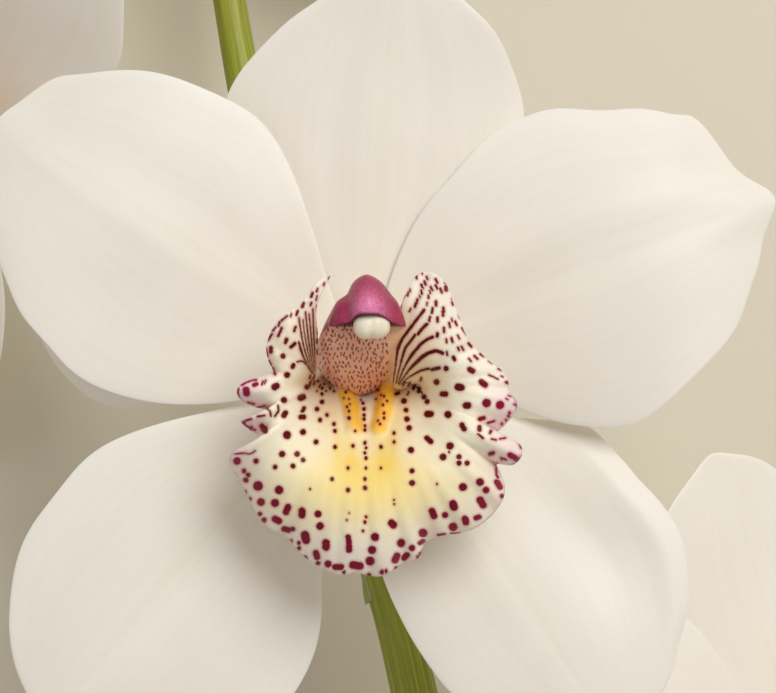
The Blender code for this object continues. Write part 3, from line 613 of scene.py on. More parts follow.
def turned(lean, nod, roll):
    """The bloom's x, y and z directions: rolled, nodded towards the cut end, then leant towards +x."""
    a, b, c = (math.radians(angle) for angle in (lean, nod, roll))
    rolled = np.array([[math.cos(c), -math.sin(c), 0], [math.sin(c), math.cos(c), 0], [0, 0, 1]])
    nodded = np.array([[1, 0, 0], [0, math.cos(b), -math.sin(b)], [0, math.sin(b), math.cos(b)]])
    leant = np.array([[math.cos(a), 0, math.sin(a)], [0, 1, 0], [-math.sin(a), 0, math.cos(a)]])
    return leant @ nodded @ rolled


def bloom_place(bloom):
    """A bloom's three directions in columns, with its size, and its centre in millimetres."""
    _, centre, lean, nod, roll, size, mirrored = BLOOMS[bloom]
    directions = turned(lean, nod, roll) * size
    directions[:, 0] *= -1.0 if mirrored else 1.0
    if len(centre) == 2:
        centre = (*centre, TEPAL_WALL / 2 * size - plain_tepal_low(bloom, directions))
    return directions, np.asarray(centre)


def make_tepals(bloom, finish, place, rows, columns):
    """The three sepals and two petals of a bloom, each a shell that thins to a rounded edge."""
    share, w = grid((rows, columns), 0.99)
    u, v = np.sin(np.pi / 2 * share), np.sin(np.pi / 2 * w)
    half = TEPAL_WALL / 2 * (1 - 0.5 * np.abs(v) ** 3) * np.sqrt(1 - 0.98 * np.abs(v) ** 20)
    half = half * np.sqrt(1 - 0.98 * share**60)
    for i, (piece, numbers) in enumerate(tepal_numbers(bloom).items()):
        phase = 1.7 * i + 2.9 * list(BLOOMS).index(bloom)
        outline = OUTLINE_SWELLS[piece] if bloom == FINE_BLOOM else PLAIN_OUTLINE
        midrib = 0.22 * bell(v, 0.10) * (1 - u) * (0.4 if "petal" in piece else 1.0)
        values = both_faces(
            vein=np.stack([16 * v, 1.6 * u, np.full_like(u, phase)], axis=-1),
            green=0.55 * np.exp(-u / 0.10) + midrib,
            rim=np.maximum(np.abs(v), share) ** 10,
        )
        sheet = tepal_sheet(u, v, numbers, SWELLS[piece], outline, phase)
        add_piece(f"{bloom}_{piece}", shell_of(sheet, half), finish, values, place=place)


def lip_sheet(s, t):
    """The lip as a sheet of ribs that fan out round the column's foot, s along a rib and t from rib to rib.

    A rib is a cubic curve from the foot, forward, then over to the outline evened out over its neighbours.
    Its last part bends into the frill, and its very last into the fine crimp of the edge. The outermost
    ribs are carried over to the side lobes' inner margins. Low on the disc stands a callus, a bell in s,
    and from it two keels, each a bell round its line as it is seen from the front.
    """
    knots = from_photo(LIP_OUTLINE)
    evened, eased = evened_out(knots, 7), evened_out(knots, 1)
    way = np.concatenate([[0.0], np.cumsum(np.linalg.norm(np.diff(evened, axis=0), axis=1))])
    place = np.interp((t + 1) / 2, way / way[-1], np.linspace(0, 1, len(knots)))
    edge, medium, aim = (curve_through(line, place) for line in (knots, eased, evened))
    around = np.sin(np.pi / 2 * np.clip(t / 0.6, -1, 1))
    foot = np.column_stack([
        LIP_FOOT_WIDTH * around,
        LIP_FOOT_Y - LIP_FOOT_DROP * (1 - around**2),
        np.full_like(t, LIP_Z),
    ])
    lobe = smooth((np.abs(t) - 0.35) / 0.5)
    reach = aim[:, :2] - foot[:, :2]
    inner, outer = 0.15 - 0.09 * lobe, 0.5 + 0.06 * lobe
    throat = np.column_stack([foot[:, :2] + inner[:, None] * reach, LIP_THROAT_Z + 1.5 * lobe])
    crest = np.column_stack([foot[:, :2] + outer[:, None] * reach, LIP_CREST_Z - 5.0 * lobe])
    s = s[:, None, None]
    shape = (
        foot * (1 - s) ** 3
        + throat * 3 * s * (1 - s) ** 2
        + crest * 3 * s * s * (1 - s)
        + aim * s**3
        + (medium - aim) * s**3
        + (edge - medium) * s**6
    )
    s = s[..., 0]
    callus = bell(s - CALLUS_AT, CALLUS_REACH) * smooth((0.62 - np.abs(t)) / 0.25) * smooth(s / 0.06)
    callus = callus * (1 - 0.35 * bell(t, 0.10))
    shape[..., 1] += CALLUS_HEIGHT * callus
    for side, margin in ((-1, LEFT_MARGIN), (1, RIGHT_MARGIN)):
        there = curve_through(from_photo(margin), s[:, 0])
        near = smooth((side * t - 0.70) / 0.30) * smooth(s / 0.2)
        shape += (there - shape[:, 0 if side < 0 else -1])[:, None, :] * near[..., None]
    seen = to_photo(shape)
    for line in KEELS:
        line = curve_through(line, np.linspace(0, 1, 24))
        far = np.sqrt(((seen[..., None, :] - line) ** 2).sum(axis=-1).min(axis=-1))
        keel = KEEL_HEIGHT * (1 + 1.2 * smooth((404 - seen[..., 1]) / 18)) * bell(far, KEEL_REACH)
        keel = keel * smooth((0.5 - np.abs(t)) / 0.2) * smooth(s / 0.1)
        shape[..., 1:] += np.array([0.6, 0.8]) * keel[..., None]
    crimp = smooth((s - 0.55) / 0.45) * (0.16 * np.sin(64 * t) + 0.10 * np.sin(143 * t + 1.0))
    shape[..., 2] += crimp
    return shape


def line_marks(line, radius):
    """A stripe as a row of short straight marks, each with its two ends and its radius.

    It grows thinner towards the corners of the throat.
    """
    line = np.asarray(line, float)
    steps = max(2, int(np.linalg.norm(np.diff(line, axis=0), axis=1).sum() / 4.0) + 1)
    along = curve_through(line, np.linspace(0, 1, steps))
    gap = np.min([np.linalg.norm(along[:-1] - corner, axis=1) for corner in THROAT_CORNERS.values()], axis=0)
    return np.column_stack([along[:-1], along[1:], radius * np.clip(gap / 34.0, 0.4, 1.0)])


def lip_marks(seed):
    """All marks of a lip, each with its two ends and its radius in the photograph's pixels.

    The small spots of the side lobes are drawn out along the veins. Two spots listed one after the other
    that touch are one long spot. In all blooms but the closest each mark is moved and sized a little
    differently.
    """
    marks = []
    for where, spots in SPOTS.items():
        right, down, radius = np.asarray(spots, float).T
        place, on_lobe = np.column_stack([right, down]), where in LEANS
        lean = np.interp(right, *LEANS[where]) if on_lobe else np.zeros(len(spots))
        if where == "right lobe":
            lean = lean + 0.5 * smooth((298 - down) / 10)
        towards = np.column_stack([lean, np.ones(len(spots))]) / np.hypot(lean, 1.0)[:, None]
        long = towards * ((1.25 if on_lobe else 0.25) * radius * smooth((2.7 - radius) / 1.2))[:, None]
        slim = radius * (1.0 - (0.2 if on_lobe else 0.1) * smooth((2.6 - radius) / 1.2))
        touching = np.linalg.norm(np.diff(place, axis=0), axis=1) < radius[:-1] + radius[1:]
        alone = ~(np.append(touching, False) | np.append(False, touching))
        joined = np.column_stack([place[:-1], place[1:], (radius[:-1] + radius[1:]) / 2])
        marks += [np.column_stack([place + long, place - long, slim])[alone], joined[touching]]
    marks += [line_marks(*stripe) for group in STRIPES.values() for stripe in group]
    marks = np.concatenate(marks)
    if seed:
        draw = np.random.default_rng(seed)
        marks[:, :4] += np.tile(draw.normal(0.0, 1.0, (len(marks), 2)), 2)
        marks[:, 4] *= draw.uniform(0.85, 1.15, len(marks))
    return marks


def marks_on_faces(points, faces, towards_camera, marks):
    """Gives each face the mark that is nearest to it, so that the finish can draw it sharply.

    Distance is taken as it is seen in the photograph, from the face's middle to the line between the mark's
    ends. A mark lies on the layer that the camera sees there: on faces near the foremost one.
    """
    middle = np.concatenate([points[group].mean(axis=1) for group in faces])
    seen = to_photo(middle)
    best = np.full(len(middle), 1e6)
    chosen = np.full(len(middle), -1)
    for k, (x0, y0, x1, y1, radius) in enumerate(marks):
        start, run = np.array([x0, y0]), np.array([x1 - x0, y1 - y0])
        length = run @ run
        share = np.clip((seen - start) @ run / length, 0, 1) if length > 0 else np.zeros(len(seen))
        far = np.linalg.norm(seen - start - share[:, None] * run, axis=1) - radius
        over = towards_camera & (far < max(1.5, far[towards_camera].min() + 0.2))
        foremost = middle[over][np.argmax(middle[over][:, 2])]
        reach = 3.2 + (radius + math.sqrt(length) / 2) * MM_PER_PIXEL
        far = np.where(np.linalg.norm(middle - foremost, axis=1) < reach, far, 1e6)
        chosen = np.where(far < best, k, chosen)
        best = np.minimum(far, best)
    ends = np.where(chosen[:, None] >= 0, marks[chosen, :4], 0.0) * MM_PER_PIXEL
    flat = np.zeros((len(middle), 1))
    return {
        "mark_start": np.concatenate([ends[:, :2], flat], axis=1),
        "mark_end": np.concatenate([ends[:, 2:], flat], axis=1),
        "mark_radius": np.where(chosen >= 0, marks[chosen, 4] * MM_PER_PIXEL, -9.0),
    }


def seen_at(points):
    """The places of points as the photograph shows them, in millimetres, for the finish to draw marks by."""
    return np.concatenate([to_photo(points) * MM_PER_PIXEL, np.zeros((len(points), 1))], axis=1)


def wash(seen, spots, steep=1):
    """How strongly a wash shows: the union of soft ellipses in the photograph's pixels."""
    bare = np.ones(seen.shape[:-1])
    for right, down, reach_right, reach_down, strength in spots:
        far = ((seen[..., 0] - right) / reach_right) ** 2 + ((seen[..., 1] - down) / reach_down) ** 2
        bare = bare * (1 - strength * np.exp(-(far**steep)))
    return 1 - bare


def make_lip(bloom, finish, place, rows, columns):
    """The lip of a bloom: a frilled shell with its marks on its faces and its washes at its points."""
    s = np.linspace(0, 1, rows)
    t = np.linspace(-1, 1, columns)
    sheet = lip_sheet(s, t)
    edge = np.maximum(s[:, None], np.abs(t)[None, :] ** 6)
    half = LIP_WALL / 2 * (1 - 0.55 * smooth((edge - 0.5) / 0.5)) * np.sqrt(1 - 0.97 * edge**40)
    seen = to_photo(sheet)
    frill = smooth((np.abs(t) - 0.28) / 0.2)
    lobe = smooth((np.abs(t) - np.where(t < 0, 0.70, 0.60)) / 0.08)
    points, faces = shell_of(sheet, half)
    values = both_faces(
        lemon=wash(seen, LEMON),
        gold=wash(seen, GOLD, 2),
        # partly the lip's own brownish colour, partly painted shade near the throat
        tan=wash(seen, TAN_AND_SHADE),
        blush=smooth((edge - 0.66) / 0.34) * (0.6 + 0.4 * frill) * (1 - 0.6 * lobe),
        edge=smooth((edge - 0.975) / 0.02) * frill * (1 - lobe),
    )
    values["seen"] = seen_at(points)
    values["front"] = np.repeat([1.0, 0.0], len(points) // 2)
    inner = np.repeat([True, False, False], [len(group) for group in faces])
    seed = 0 if bloom == FINE_BLOOM else 10 + list(BLOOMS).index(bloom)
    on_faces = marks_on_faces(points, faces, inner, lip_marks(seed))
    add_piece(f"{bloom}_lip", (points, faces), finish, values, place=place, on_faces=on_faces)


def column_rings(sides, count):
    """Rings of the column: a peaked back and a flat front, the last ones swung forward into a hood.

    A ring is an oval with its own power for back and front. The hood's rings are drawn in halfway up their
    backs, which leaves a shoulder on either side, and the hood's rim arches up over the anther cap. Inside
    the rim the underside is hollowed, ring by ring towards its middle.
    """
    share = np.linspace(0, 1, count)
    right, up, forward, tilt, wide, back, front = curve_through(COLUMN, share).T
    tilt = np.radians(tilt)
    dorsal = np.column_stack([np.zeros(count), np.sin(tilt), np.cos(tilt)])
    turn = (np.arange(sides) + 0.5) * 2 * np.pi / sides
    c, d = np.cos(turn), np.sin(turn)
    flat = 1.25 - 0.65 * smooth((share - 0.2) / 0.4)[:, None]
    power = np.where(d > 0, 2 / HOOD_POINT, flat)
    across = np.sign(c) * np.abs(c) ** power
    rise = np.sign(d) * np.abs(d) ** power
    height = np.where(d > 0, back[:, None], front[:, None]) * rise
    waist = HOOD_WAIST * np.where(c < 0, 1.2, 0.3) * bell(rise - 0.64, np.where(rise > 0.64, 0.24, 0.10))
    waist = waist * smooth((share - 0.36) / 0.2)[:, None]
    rings = np.zeros((count, sides, 3))
    rings[..., 0] = right[:, None] + wide[:, None] * across * (1 - waist)
    rings[..., 1] = up[:, None]
    rings[..., 2] = forward[:, None]
    rings += height[..., None] * dorsal[:, None, :]
    under = smooth((share - 0.72) / 0.28)[:, None] * np.clip(6 * height / back[:, None], 0, 1)
    rings[..., 1] += HOOD_ARCH * under * smooth((0.92 - np.abs(across)) / 0.75)
    rim, middle = rings[-1], rings[-1].mean(axis=0)
    hollow = [middle + (rim - middle) * inner + [0.0, depth, 0.0] for inner, depth in HOOD_HOLLOW]
    rings = np.concatenate([rings, hollow])
    share = np.concatenate([share, [1.5, 2.0, 2.0, 2.0]])[:, None] * np.ones(sides)
    across = np.concatenate([across, across[-1:].repeat(4, axis=0)])
    return rings, share, d[None, :] * np.ones((len(rings), 1)), across


def make_column(bloom, finish, place, sides, count):
    """The column of a bloom, with short dashes in loose rows on its flat face."""
    rings, share, back, across = column_rings(sides, count)
    draw = np.random.default_rng(40 + list(BLOOMS).index(bloom))
    columns, rows = np.arange(DASH_LEFT, DASH_RIGHT, DASH_GAP), np.arange(DASH_TOP, DASH_BOTTOM, DASH_GAP)
    right, down = np.meshgrid(columns, rows)
    right[::2] += DASH_GAP / 2
    right = right.ravel() + draw.normal(0.0, 1.0, right.size)
    down = down.ravel() + draw.normal(0.0, 1.0, down.size)
    long, slant = draw.uniform(0.4, 1.3, right.size), draw.normal(0.0, 0.35, right.size)
    radius = draw.uniform(0.6, 1.0, right.size)
    marks = np.column_stack([right - slant, down - long, right + slant, down + long, radius])
    points, faces = tube_of(rings)
    middle = np.concatenate([points[group].mean(axis=1) for group in faces])
    facing = np.concatenate([(back[:-1] < 0).ravel(), np.zeros(len(middle) - back[:-1].size, bool)])
    values = with_middles(
        hood=smooth((back + 0.12) / 0.2) * smooth((share - 0.3) / 0.2),
        # Painted shade: the hood's rim is darkened and its hollow underside is painted dark
        under=np.maximum(0.75 * smooth((share - 0.965) / 0.03), smooth(share - 1.0)),
        # Painted highlight: the hood is paler over its middle towards the rim, and deeper at its sides as
        # painted shade
        crown=bell(across, 0.52) * (0.10 + 0.90 * smooth((share - 0.67) / 0.28)),
        plain=smooth((across - 0.5) / 0.25),
    )
    values["seen"] = seen_at(points)
    on_faces = marks_on_faces(points, faces, facing & (middle[:, 2] > 5), marks)
    add_piece(f"{bloom}_column", (points, faces), finish, values, place=place, on_faces=on_faces)


def make_cap(bloom, finish, place, sides):
    """The anther cap under the hood: an egg with a notch between its two lobes."""
    heights, turn = np.linspace(0.04, np.pi - 0.04, sides // 2), np.arange(sides) * 2 * np.pi / sides
    lat, lon = np.meshgrid(heights, turn, indexing="ij")
    x, y, z = np.sin(lat) * np.cos(lon), np.sin(lat) * np.sin(lon), np.cos(lat)
    notch = 1.0 - 0.12 * bell(x, 0.10) * smooth(-1.6 * y)
    x, y = np.sign(x) * np.abs(x) ** 0.8, np.sign(y) * np.abs(y) ** 0.8
    ball = np.stack([x, y * notch, z * (1 - 0.05 * bell(x, 0.2))], axis=-1)
    add_piece(f"{bloom}_anther_cap", tube_of(ball * CAP_RADII + CAP_CENTRE), finish, place=place)


def stem_centre(y):
    """The stem's centre line: flat by the cut end, then carried up, with a slight bow and a zigzag."""
    y = np.asarray(y, float)
    z = STEM_REST_Z + STEM_LIFT * smooth((y - FLAT_END_Y) / (LIFT_END_Y - FLAT_END_Y))
    grown = smooth((y - FLAT_END_Y) / FIRST_NODE_Y)
    zigzag = ZIGZAG * np.cos(np.pi * (y - FIRST_NODE_Y) / NODE_GAP)
    x = grown * (STEM_BOW * np.sin(np.pi * y / TIP_Y) + zigzag)
    return np.stack([x, y, z], axis=-1)


def stem_radius(y):
    """The stem's radius, which eases from its foot towards its tip."""
    along = (np.asarray(y, float) - FLAT_END_Y) / (TIP_Y + 40.0)
    return STEM_RADIUS + (TIP_RADIUS - STEM_RADIUS) * smooth(along)


def tube_rings(points, radii, sides, shape, up=(0.0, 0.0, 1.0)):
    """Rings round a path, and the grain at their points: place round and along it in millimetres.

    shape gives how far out each ring's points stand, in radii, from the turn round the path.
    """
    along = np.gradient(points, axis=0, edge_order=2)
    along /= np.linalg.norm(along, axis=1)[:, None]
    level = np.cross(along, np.asarray(up, float))
    level /= np.linalg.norm(level, axis=1)[:, None]
    above = np.cross(level, along)
    turn = (np.arange(sides) + 0.5) * 2 * np.pi / sides - np.pi / 2
    wide = np.asarray(radii, float)[:, None] * shape(turn)
    rings = (
        points[:, None, :]
        + (wide * np.cos(turn))[..., None] * level[:, None, :]
        + (wide * np.sin(turn))[..., None] * above[:, None, :]
    )
    way = np.concatenate([[0.0], np.cumsum(np.linalg.norm(np.diff(points, axis=0), axis=1))])
    grain = np.stack([wide * np.cos(turn), wide * np.sin(turn), way[:, None] * np.ones(sides)], axis=-1)
    return rings, grain


def make_stem(finish):
    """The stem, slightly swollen at its nodes and finely ribbed, with a flat cut end."""
    y = np.concatenate([[CUT_Y, CUT_Y + 0.15, CUT_Y + 0.5], np.linspace(CUT_Y + 1.5, TIP_Y, STEM_STEPS[0])])
    radius = stem_radius(y)
    for number in range(NODES):
        radius = radius + NODE_SWELL * bell(y - FIRST_NODE_Y - number * NODE_GAP, NODE_REACH)
    radius[:2] -= [0.35, 0.1]

    def ribs(turn):
        return 1 + 0.010 * np.cos(9 * turn) + 0.006 * np.cos(24 * turn + 1)

    rings, grain = tube_rings(stem_centre(y), radius, STEM_STEPS[1], ribs)
    cut = np.zeros(rings.shape[:2])
    cut[0] = 1.0
    add_piece("stem", tube_of(rings), finish, with_middles(grain=grain, cut=cut), node="flower_stem")


def make_stalk(name, stem_y, end, arrival, radii, rib_height, finish):
    """A flower's stalk: it leaves the stem towards the tip and swings round to arrive behind the flower.

    Its radius grows from the stalk to the ovary, which carries six ribs in three pairs.
    """
    root, end, arrival = stem_centre(stem_y), np.asarray(end), unit(arrival)
    reach = np.linalg.norm(end - root)
    leave = unit(unit(end - root) + np.array([0.0, 0.9, 0.0]))
    share = np.linspace(0, 1, STALK_STEPS[0])
    path = bezier((root, root + 0.35 * reach * leave, end - 0.45 * reach * arrival, end), share)
    up = (0.0, 1.0, 0.3) if abs(arrival[2]) > 0.7 else (0.0, 0.0, 1.0)
    grown = rib_height * smooth((share - 0.35) / 0.3)[:, None]

    def ribs(turn):
        return 1 + grown * (0.6 * np.cos(6 * turn) + 0.7 * np.cos(3 * turn))

    rings, grain = tube_rings(path, np.interp(share, *radii), STALK_STEPS[1], ribs, up)
    values = with_middles(grain=grain, cut=np.zeros(rings.shape[:2]))
    add_piece(name, tube_of(rings), finish, values, node="flower_stem")


def make_bract(name, stem_y, towards, finish):
    """The small pointed scale below a stalk: a cupped sheet that narrows as a cosine to its tip."""
    root = stem_centre(stem_y - 5.0)
    side = unit(np.asarray(towards) - root)
    level = unit(np.cross(side, np.array([0.0, 1.0, 0.0])))
    radius = float(stem_radius(stem_y))
    share, w = grid(BRACT_STEPS)
    c = np.sin(np.pi / 2 * w)
    wide = BRACT_WIDTH * np.cos(share * 1.5)
    sheet = (
        root
        + np.array([0.0, 1.0, 0.0]) * (BRACT_LENGTH * share)[..., None]
        + side * (radius * 0.75 + 3.4 * share**1.6 - 0.22 * wide * c * c)[..., None]
        + level * (wide * c)[..., None]
    )
    half = BRACT_HALF_WALL * (1 - 0.5 * np.abs(c) ** 3) * np.sqrt(1 - 0.95 * np.abs(c) ** 16)
    values = both_faces(vein=np.stack([5 * c, share, 0 * c], axis=-1), dry=smooth((share - 0.3) / 0.7))
    add_piece(name, shell_of(sheet, half), finish, values, node="flower_stem")


def make_sheath(name, start, length, stand_off, finish):
    """A sheath wrapped round the stem, its far edge cut on a slant and standing off at its tip."""
    share, w = grid(SHEATH_STEPS)
    turn = np.pi * w
    upward = (1 + np.cos(turn)) / 2
    y = start + length * share
    overlap = 0.35 * w
    loose = 0.35 + 0.4 * np.sqrt(upward) * (1 - share**6) + overlap * 0.5
    reach = stem_radius(y) + loose * (0.15 + 0.85 * smooth(share / 0.12))
    reach = reach + stand_off * share**2 * upward**6
    along = y - length * 0.55 * share * (1 - upward)
    centre = stem_centre(y)
    right, up = centre[..., 0] + reach * np.sin(turn), centre[..., 2] + reach * np.cos(turn)
    edge = np.maximum(share, np.abs(w))
    half = SHEATH_HALF_WALL * np.sqrt(1 - 0.9 * edge**30)
    shape = shell_of(np.stack([right, along, up], axis=-1), half)
    values = both_faces(
        vein=np.stack([9 * w, 0.6 * share, np.full_like(w, start)], axis=-1),
        dry=smooth((share - 0.25) / 0.75),
    )
    add_piece(name, shape, finish, values, node="flower_stem")


def make_bud(name, finish):
    """A closed bud: three sepals whose edges overlap in fine seams, drawn in to a slightly hooked tip."""
    _, root, way, length, wide = BUDS[name]
    share = np.concatenate([[0.0], np.linspace(0.004, 0.996, BUD_STEPS[0]), [1.0]])
    swell = np.sin(np.pi * np.clip(share, 1e-4, 1 - 1e-4) ** 0.85) ** 0.75
    radii = np.maximum(wide * swell, 0.35 + 0.85 * (1 - share))
    droop = np.outer(share**2, np.array([0.0, 0.0, -0.06 * length]))
    path = np.asarray(root) + np.outer(share * length, unit(way)) + droop

    def outline(turn):
        seams = 1 + 0.05 * np.cos(3 * turn) * np.ones((len(share), 1))
        for k in range(3):
            away = np.angle(np.exp(1j * (turn - (k + 0.5) * 2 * np.pi / 3 - 0.5 * share[:, None])))
            seams = seams - 0.045 * bell(away, 0.07) + 0.03 * bell(away + 0.16, 0.12)
        return seams

    rings, grain = tube_rings(path, radii, BUD_STEPS[1], outline)
    green = smooth((0.5 - share) / 0.5)[:, None] * np.ones(rings.shape[:2])
    add_piece(name, tube_of(rings), finish, with_middles(grain=grain, green=green))


def linear(code):
    """An sRGB hex colour as linear red, green, blue and alpha."""
    parts = [int(code[i : i + 2], 16) / 255 for i in (1, 3, 5)]
    return (*(p / 12.92 if p <= 0.04045 else ((p + 0.055) / 1.055) ** 2.4 for p in parts), 1.0)


def add(tree, kind, links=None, out=0, stops=None, **settings):
    """Adds one shader node and returns one of its outputs.

    settings are the node's own, links its inputs by name or number, and stops a ramp's places and colours. A
    colour is given as a hex code.
    """
    made = tree.nodes.new("ShaderNode" + kind)
    for key, value in settings.items():
        setattr(made, key, value)
    for element, (position, code) in zip(made.color_ramp.elements if stops else (), stops or ()):
        element.position = position
        element.color = linear(code)
    for key, value in (links or {}).items():
        if isinstance(value, bpy.types.NodeSocket):
            tree.links.new(value, made.inputs[key])
        else:
            made.inputs[key].default_value = linear(value) if isinstance(value, str) else value
    return made.outputs[out] if len(made.outputs) else made


def new_material(name, attributes=""):
    """An empty material, its node tree, and the attributes that it reads: places, and shares of 1."""
    made = bpy.data.materials.new(name)
    made.use_nodes = True
    tree = made.node_tree
    tree.nodes.clear()
    return made, tree, [
        add(tree, "Attribute", out=1 if label in PLACES else 2, attribute_name=label)
        for label in attributes.split()
    ]


def finish_with(made, links, flesh=None):
    """Closes a material's tree with its main shader and the output.

    flesh is how light goes in: how much of it, how far its red, green and blue go, and the unit in metres.
    """
    for label, value in zip(("Weight", "Radius", "Scale"), flesh or ()):
        links["Subsurface " + label] = value
    shader = add(made.node_tree, "BsdfPrincipled", links)
    add(made.node_tree, "OutputMaterial", {"Surface": shader})
    return made


def tepal_material():
    """Fresh tepal flesh: thin, waxy and creamy white, so light goes a little way in and the gloss is soft.

    Fine veins run from root to tip, and the skin's cells, drawn at 0.35 mm, give it a faint sparkle. Its rim
    is painted lighter, a painted glow of light shining through the thin edge.
    """
    made, tree, (vein, green, rim) = new_material("fresh_tepal", "vein green rim")
    place = add(tree, "TexCoord", out=3)
    streaks = add(tree, "TexNoise", {"Vector": vein, "Scale": 1.4, "Detail": 4.0, "Roughness": 0.6})
    clouds = add(tree, "TexNoise", {"Vector": place, "Scale": 60.0, "Detail": 2.0})
    cells = add(tree, "TexVoronoi", {"Vector": place, "Scale": 2800.0})
    tone = add(tree, "ValToRGB", {"Fac": clouds}, stops=[(0.35, "#ece7de"), (0.7, "#f0ebe3")])
    veined = add(tree, "ValToRGB", {"Fac": streaks}, stops=[(0.32, "#f1ece2"), (0.6, "#ffffff")])
    base = add(tree, "Mix", {0: 0.15, 6: tone, 7: veined}, blend_type="MULTIPLY", **COLOURS)
    tinged = add(tree, "Mix", {0: green, 6: base, 7: "#e3e2bd"}, **COLOURS)
    # Painted light: the thin rim is painted lighter, as light shining through it
    lit = add(tree, "Math", {0: rim, 1: 0.35}, operation="MULTIPLY")
    edged = add(tree, "Mix", {0: lit, 6: tinged, 7: "#f8f3ea"}, **COLOURS)
    ridges = add(tree, "Bump", {"Strength": 0.035, "Distance": 0.0003, "Height": streaks})
    skin = add(tree, "Bump", {"Strength": 0.10, "Distance": 0.0001, "Height": cells, "Normal": ridges})
    links = {"Base Color": edged, "Roughness": 0.46, "IOR": 1.36, "Normal": skin}
    return finish_with(made, links, (0.25, (1.0, 0.82, 0.6), 0.0012))


def mark_distance(tree):
    """Millimetres from here to the edge of the face's own mark, as seen.

    That is the distance to the line between the mark's ends, less its radius.
    """
    seen, start, end, radius = (
        add(tree, "Attribute", out=1 if label in PLACES else 2, attribute_name=label)
        for label in ("seen", "mark_start", "mark_end", "mark_radius")
    )
    here = add(tree, "VectorMath", {0: seen, 1: start}, operation="SUBTRACT")
    run = add(tree, "VectorMath", {0: end, 1: start}, operation="SUBTRACT")
    along = add(tree, "VectorMath", {0: here, 1: run}, out=1, operation="DOT_PRODUCT")
    length = add(tree, "VectorMath", {0: run, 1: run}, out=1, operation="DOT_PRODUCT")
    share = add(tree, "Math", {0: along, 1: length}, operation="DIVIDE", use_clamp=True)
    onto = add(tree, "VectorMath", {0: run, 3: share}, operation="SCALE")
    away = add(tree, "VectorMath", {0: here, 1: onto}, out=1, operation="DISTANCE")
    return add(tree, "Math", {0: away, 1: radius}, operation="SUBTRACT")


def lip_material():
    """Fresh lip flesh: cream with lemon and gold washes, brownish near the throat, and dark maroon marks.

    A mark is where its distance value falls below zero, with an uneven edge and a thin pink halo. The
    brownish wash near the throat is partly the lip's own colour and partly painted shade, and it turns the
    marks brown there.
    """
    made, tree, shares = new_material("fresh_spotted_lip", "lemon gold tan blush edge front")
    lemon, gold, tan, blush, edge, front = shares
    mark = mark_distance(tree)
    place = add(tree, "TexCoord", out=3)
    fine = add(tree, "TexNoise", {"Vector": place, "Scale": 1900.0, "Detail": 2.0})
    broad = add(tree, "TexNoise", {"Vector": place, "Scale": 420.0, "Detail": 3.0})
    cells = add(tree, "TexVoronoi", {"Vector": place, "Scale": 3200.0})
    washed = add(tree, "ValToRGB", {"Fac": broad}, stops=[(0.3, "#f5edd8"), (0.7, "#faf4e2")])
    pink = add(tree, "Math", {0: blush, 1: blush}, operation="MULTIPLY")
    # The brownish wash is partly the lip's own colour and partly painted shade near the throat
    for share, code in ((pink, "#f2dadc"), (lemon, "#f6d766"), (tan, "#dab07a"), (gold, "#fcc008")):
        washed = add(tree, "Mix", {0: share, 6: washed, 7: code}, **COLOURS)
    uneven = add(tree, "Math", {0: fine, 1: 0.5}, operation="SUBTRACT")
    wobble = add(tree, "Math", {0: uneven, 1: 0.16, 2: mark}, operation="MULTIPLY_ADD")
    near = add(tree, "MapRange", {"Value": wobble, "From Min": 0.38, "From Max": 0.0, "To Max": 0.55})
    glow = add(tree, "Mix", {0: blush, 6: "#cd8272", 7: "#c96f92"}, **COLOURS)
    haloed = add(tree, "Mix", {0: near, 6: washed, 7: glow}, **COLOURS)
    inside = add(tree, "MapRange", {"Value": wobble, "From Min": 0.10, "From Max": -0.07})
    shown = add(tree, "MapRange", {"Value": front, "To Min": 0.25})
    cover = add(tree, "Math", {0: inside, 1: shown}, operation="MULTIPLY")
    ripe = add(tree, "Mix", {0: blush, 6: "#5e0208", 7: "#980e3c"}, **COLOURS)
    dark = add(tree, "Mix", {0: tan, 6: ripe, 7: "#481406"}, **COLOURS)
    marked = add(tree, "Mix", {0: cover, 6: haloed, 7: dark}, **COLOURS)
    broken = add(tree, "MapRange", {"Value": broad, "From Min": 0.50, "From Max": 0.60, "To Max": 0.7})
    line = add(tree, "Math", {0: edge, 1: broken}, operation="MULTIPLY")
    lined = add(tree, "Mix", {0: line, 6: marked, 7: "#a2416a"}, **COLOURS)
    skin = add(tree, "Bump", {"Strength": 0.12, "Distance": 0.0001, "Height": cells})
    puckered = add(tree, "Bump", {"Strength": 0.25, "Distance": 0.0003, "Height": broad, "Normal": skin})
    links = {"Base Color": lined, "Roughness": 0.45, "IOR": 1.36, "Normal": puckered}
    links["Specular IOR Level"] = 0.3
    return finish_with(made, links, (0.15, (1.0, 0.7, 0.5), 0.0008))


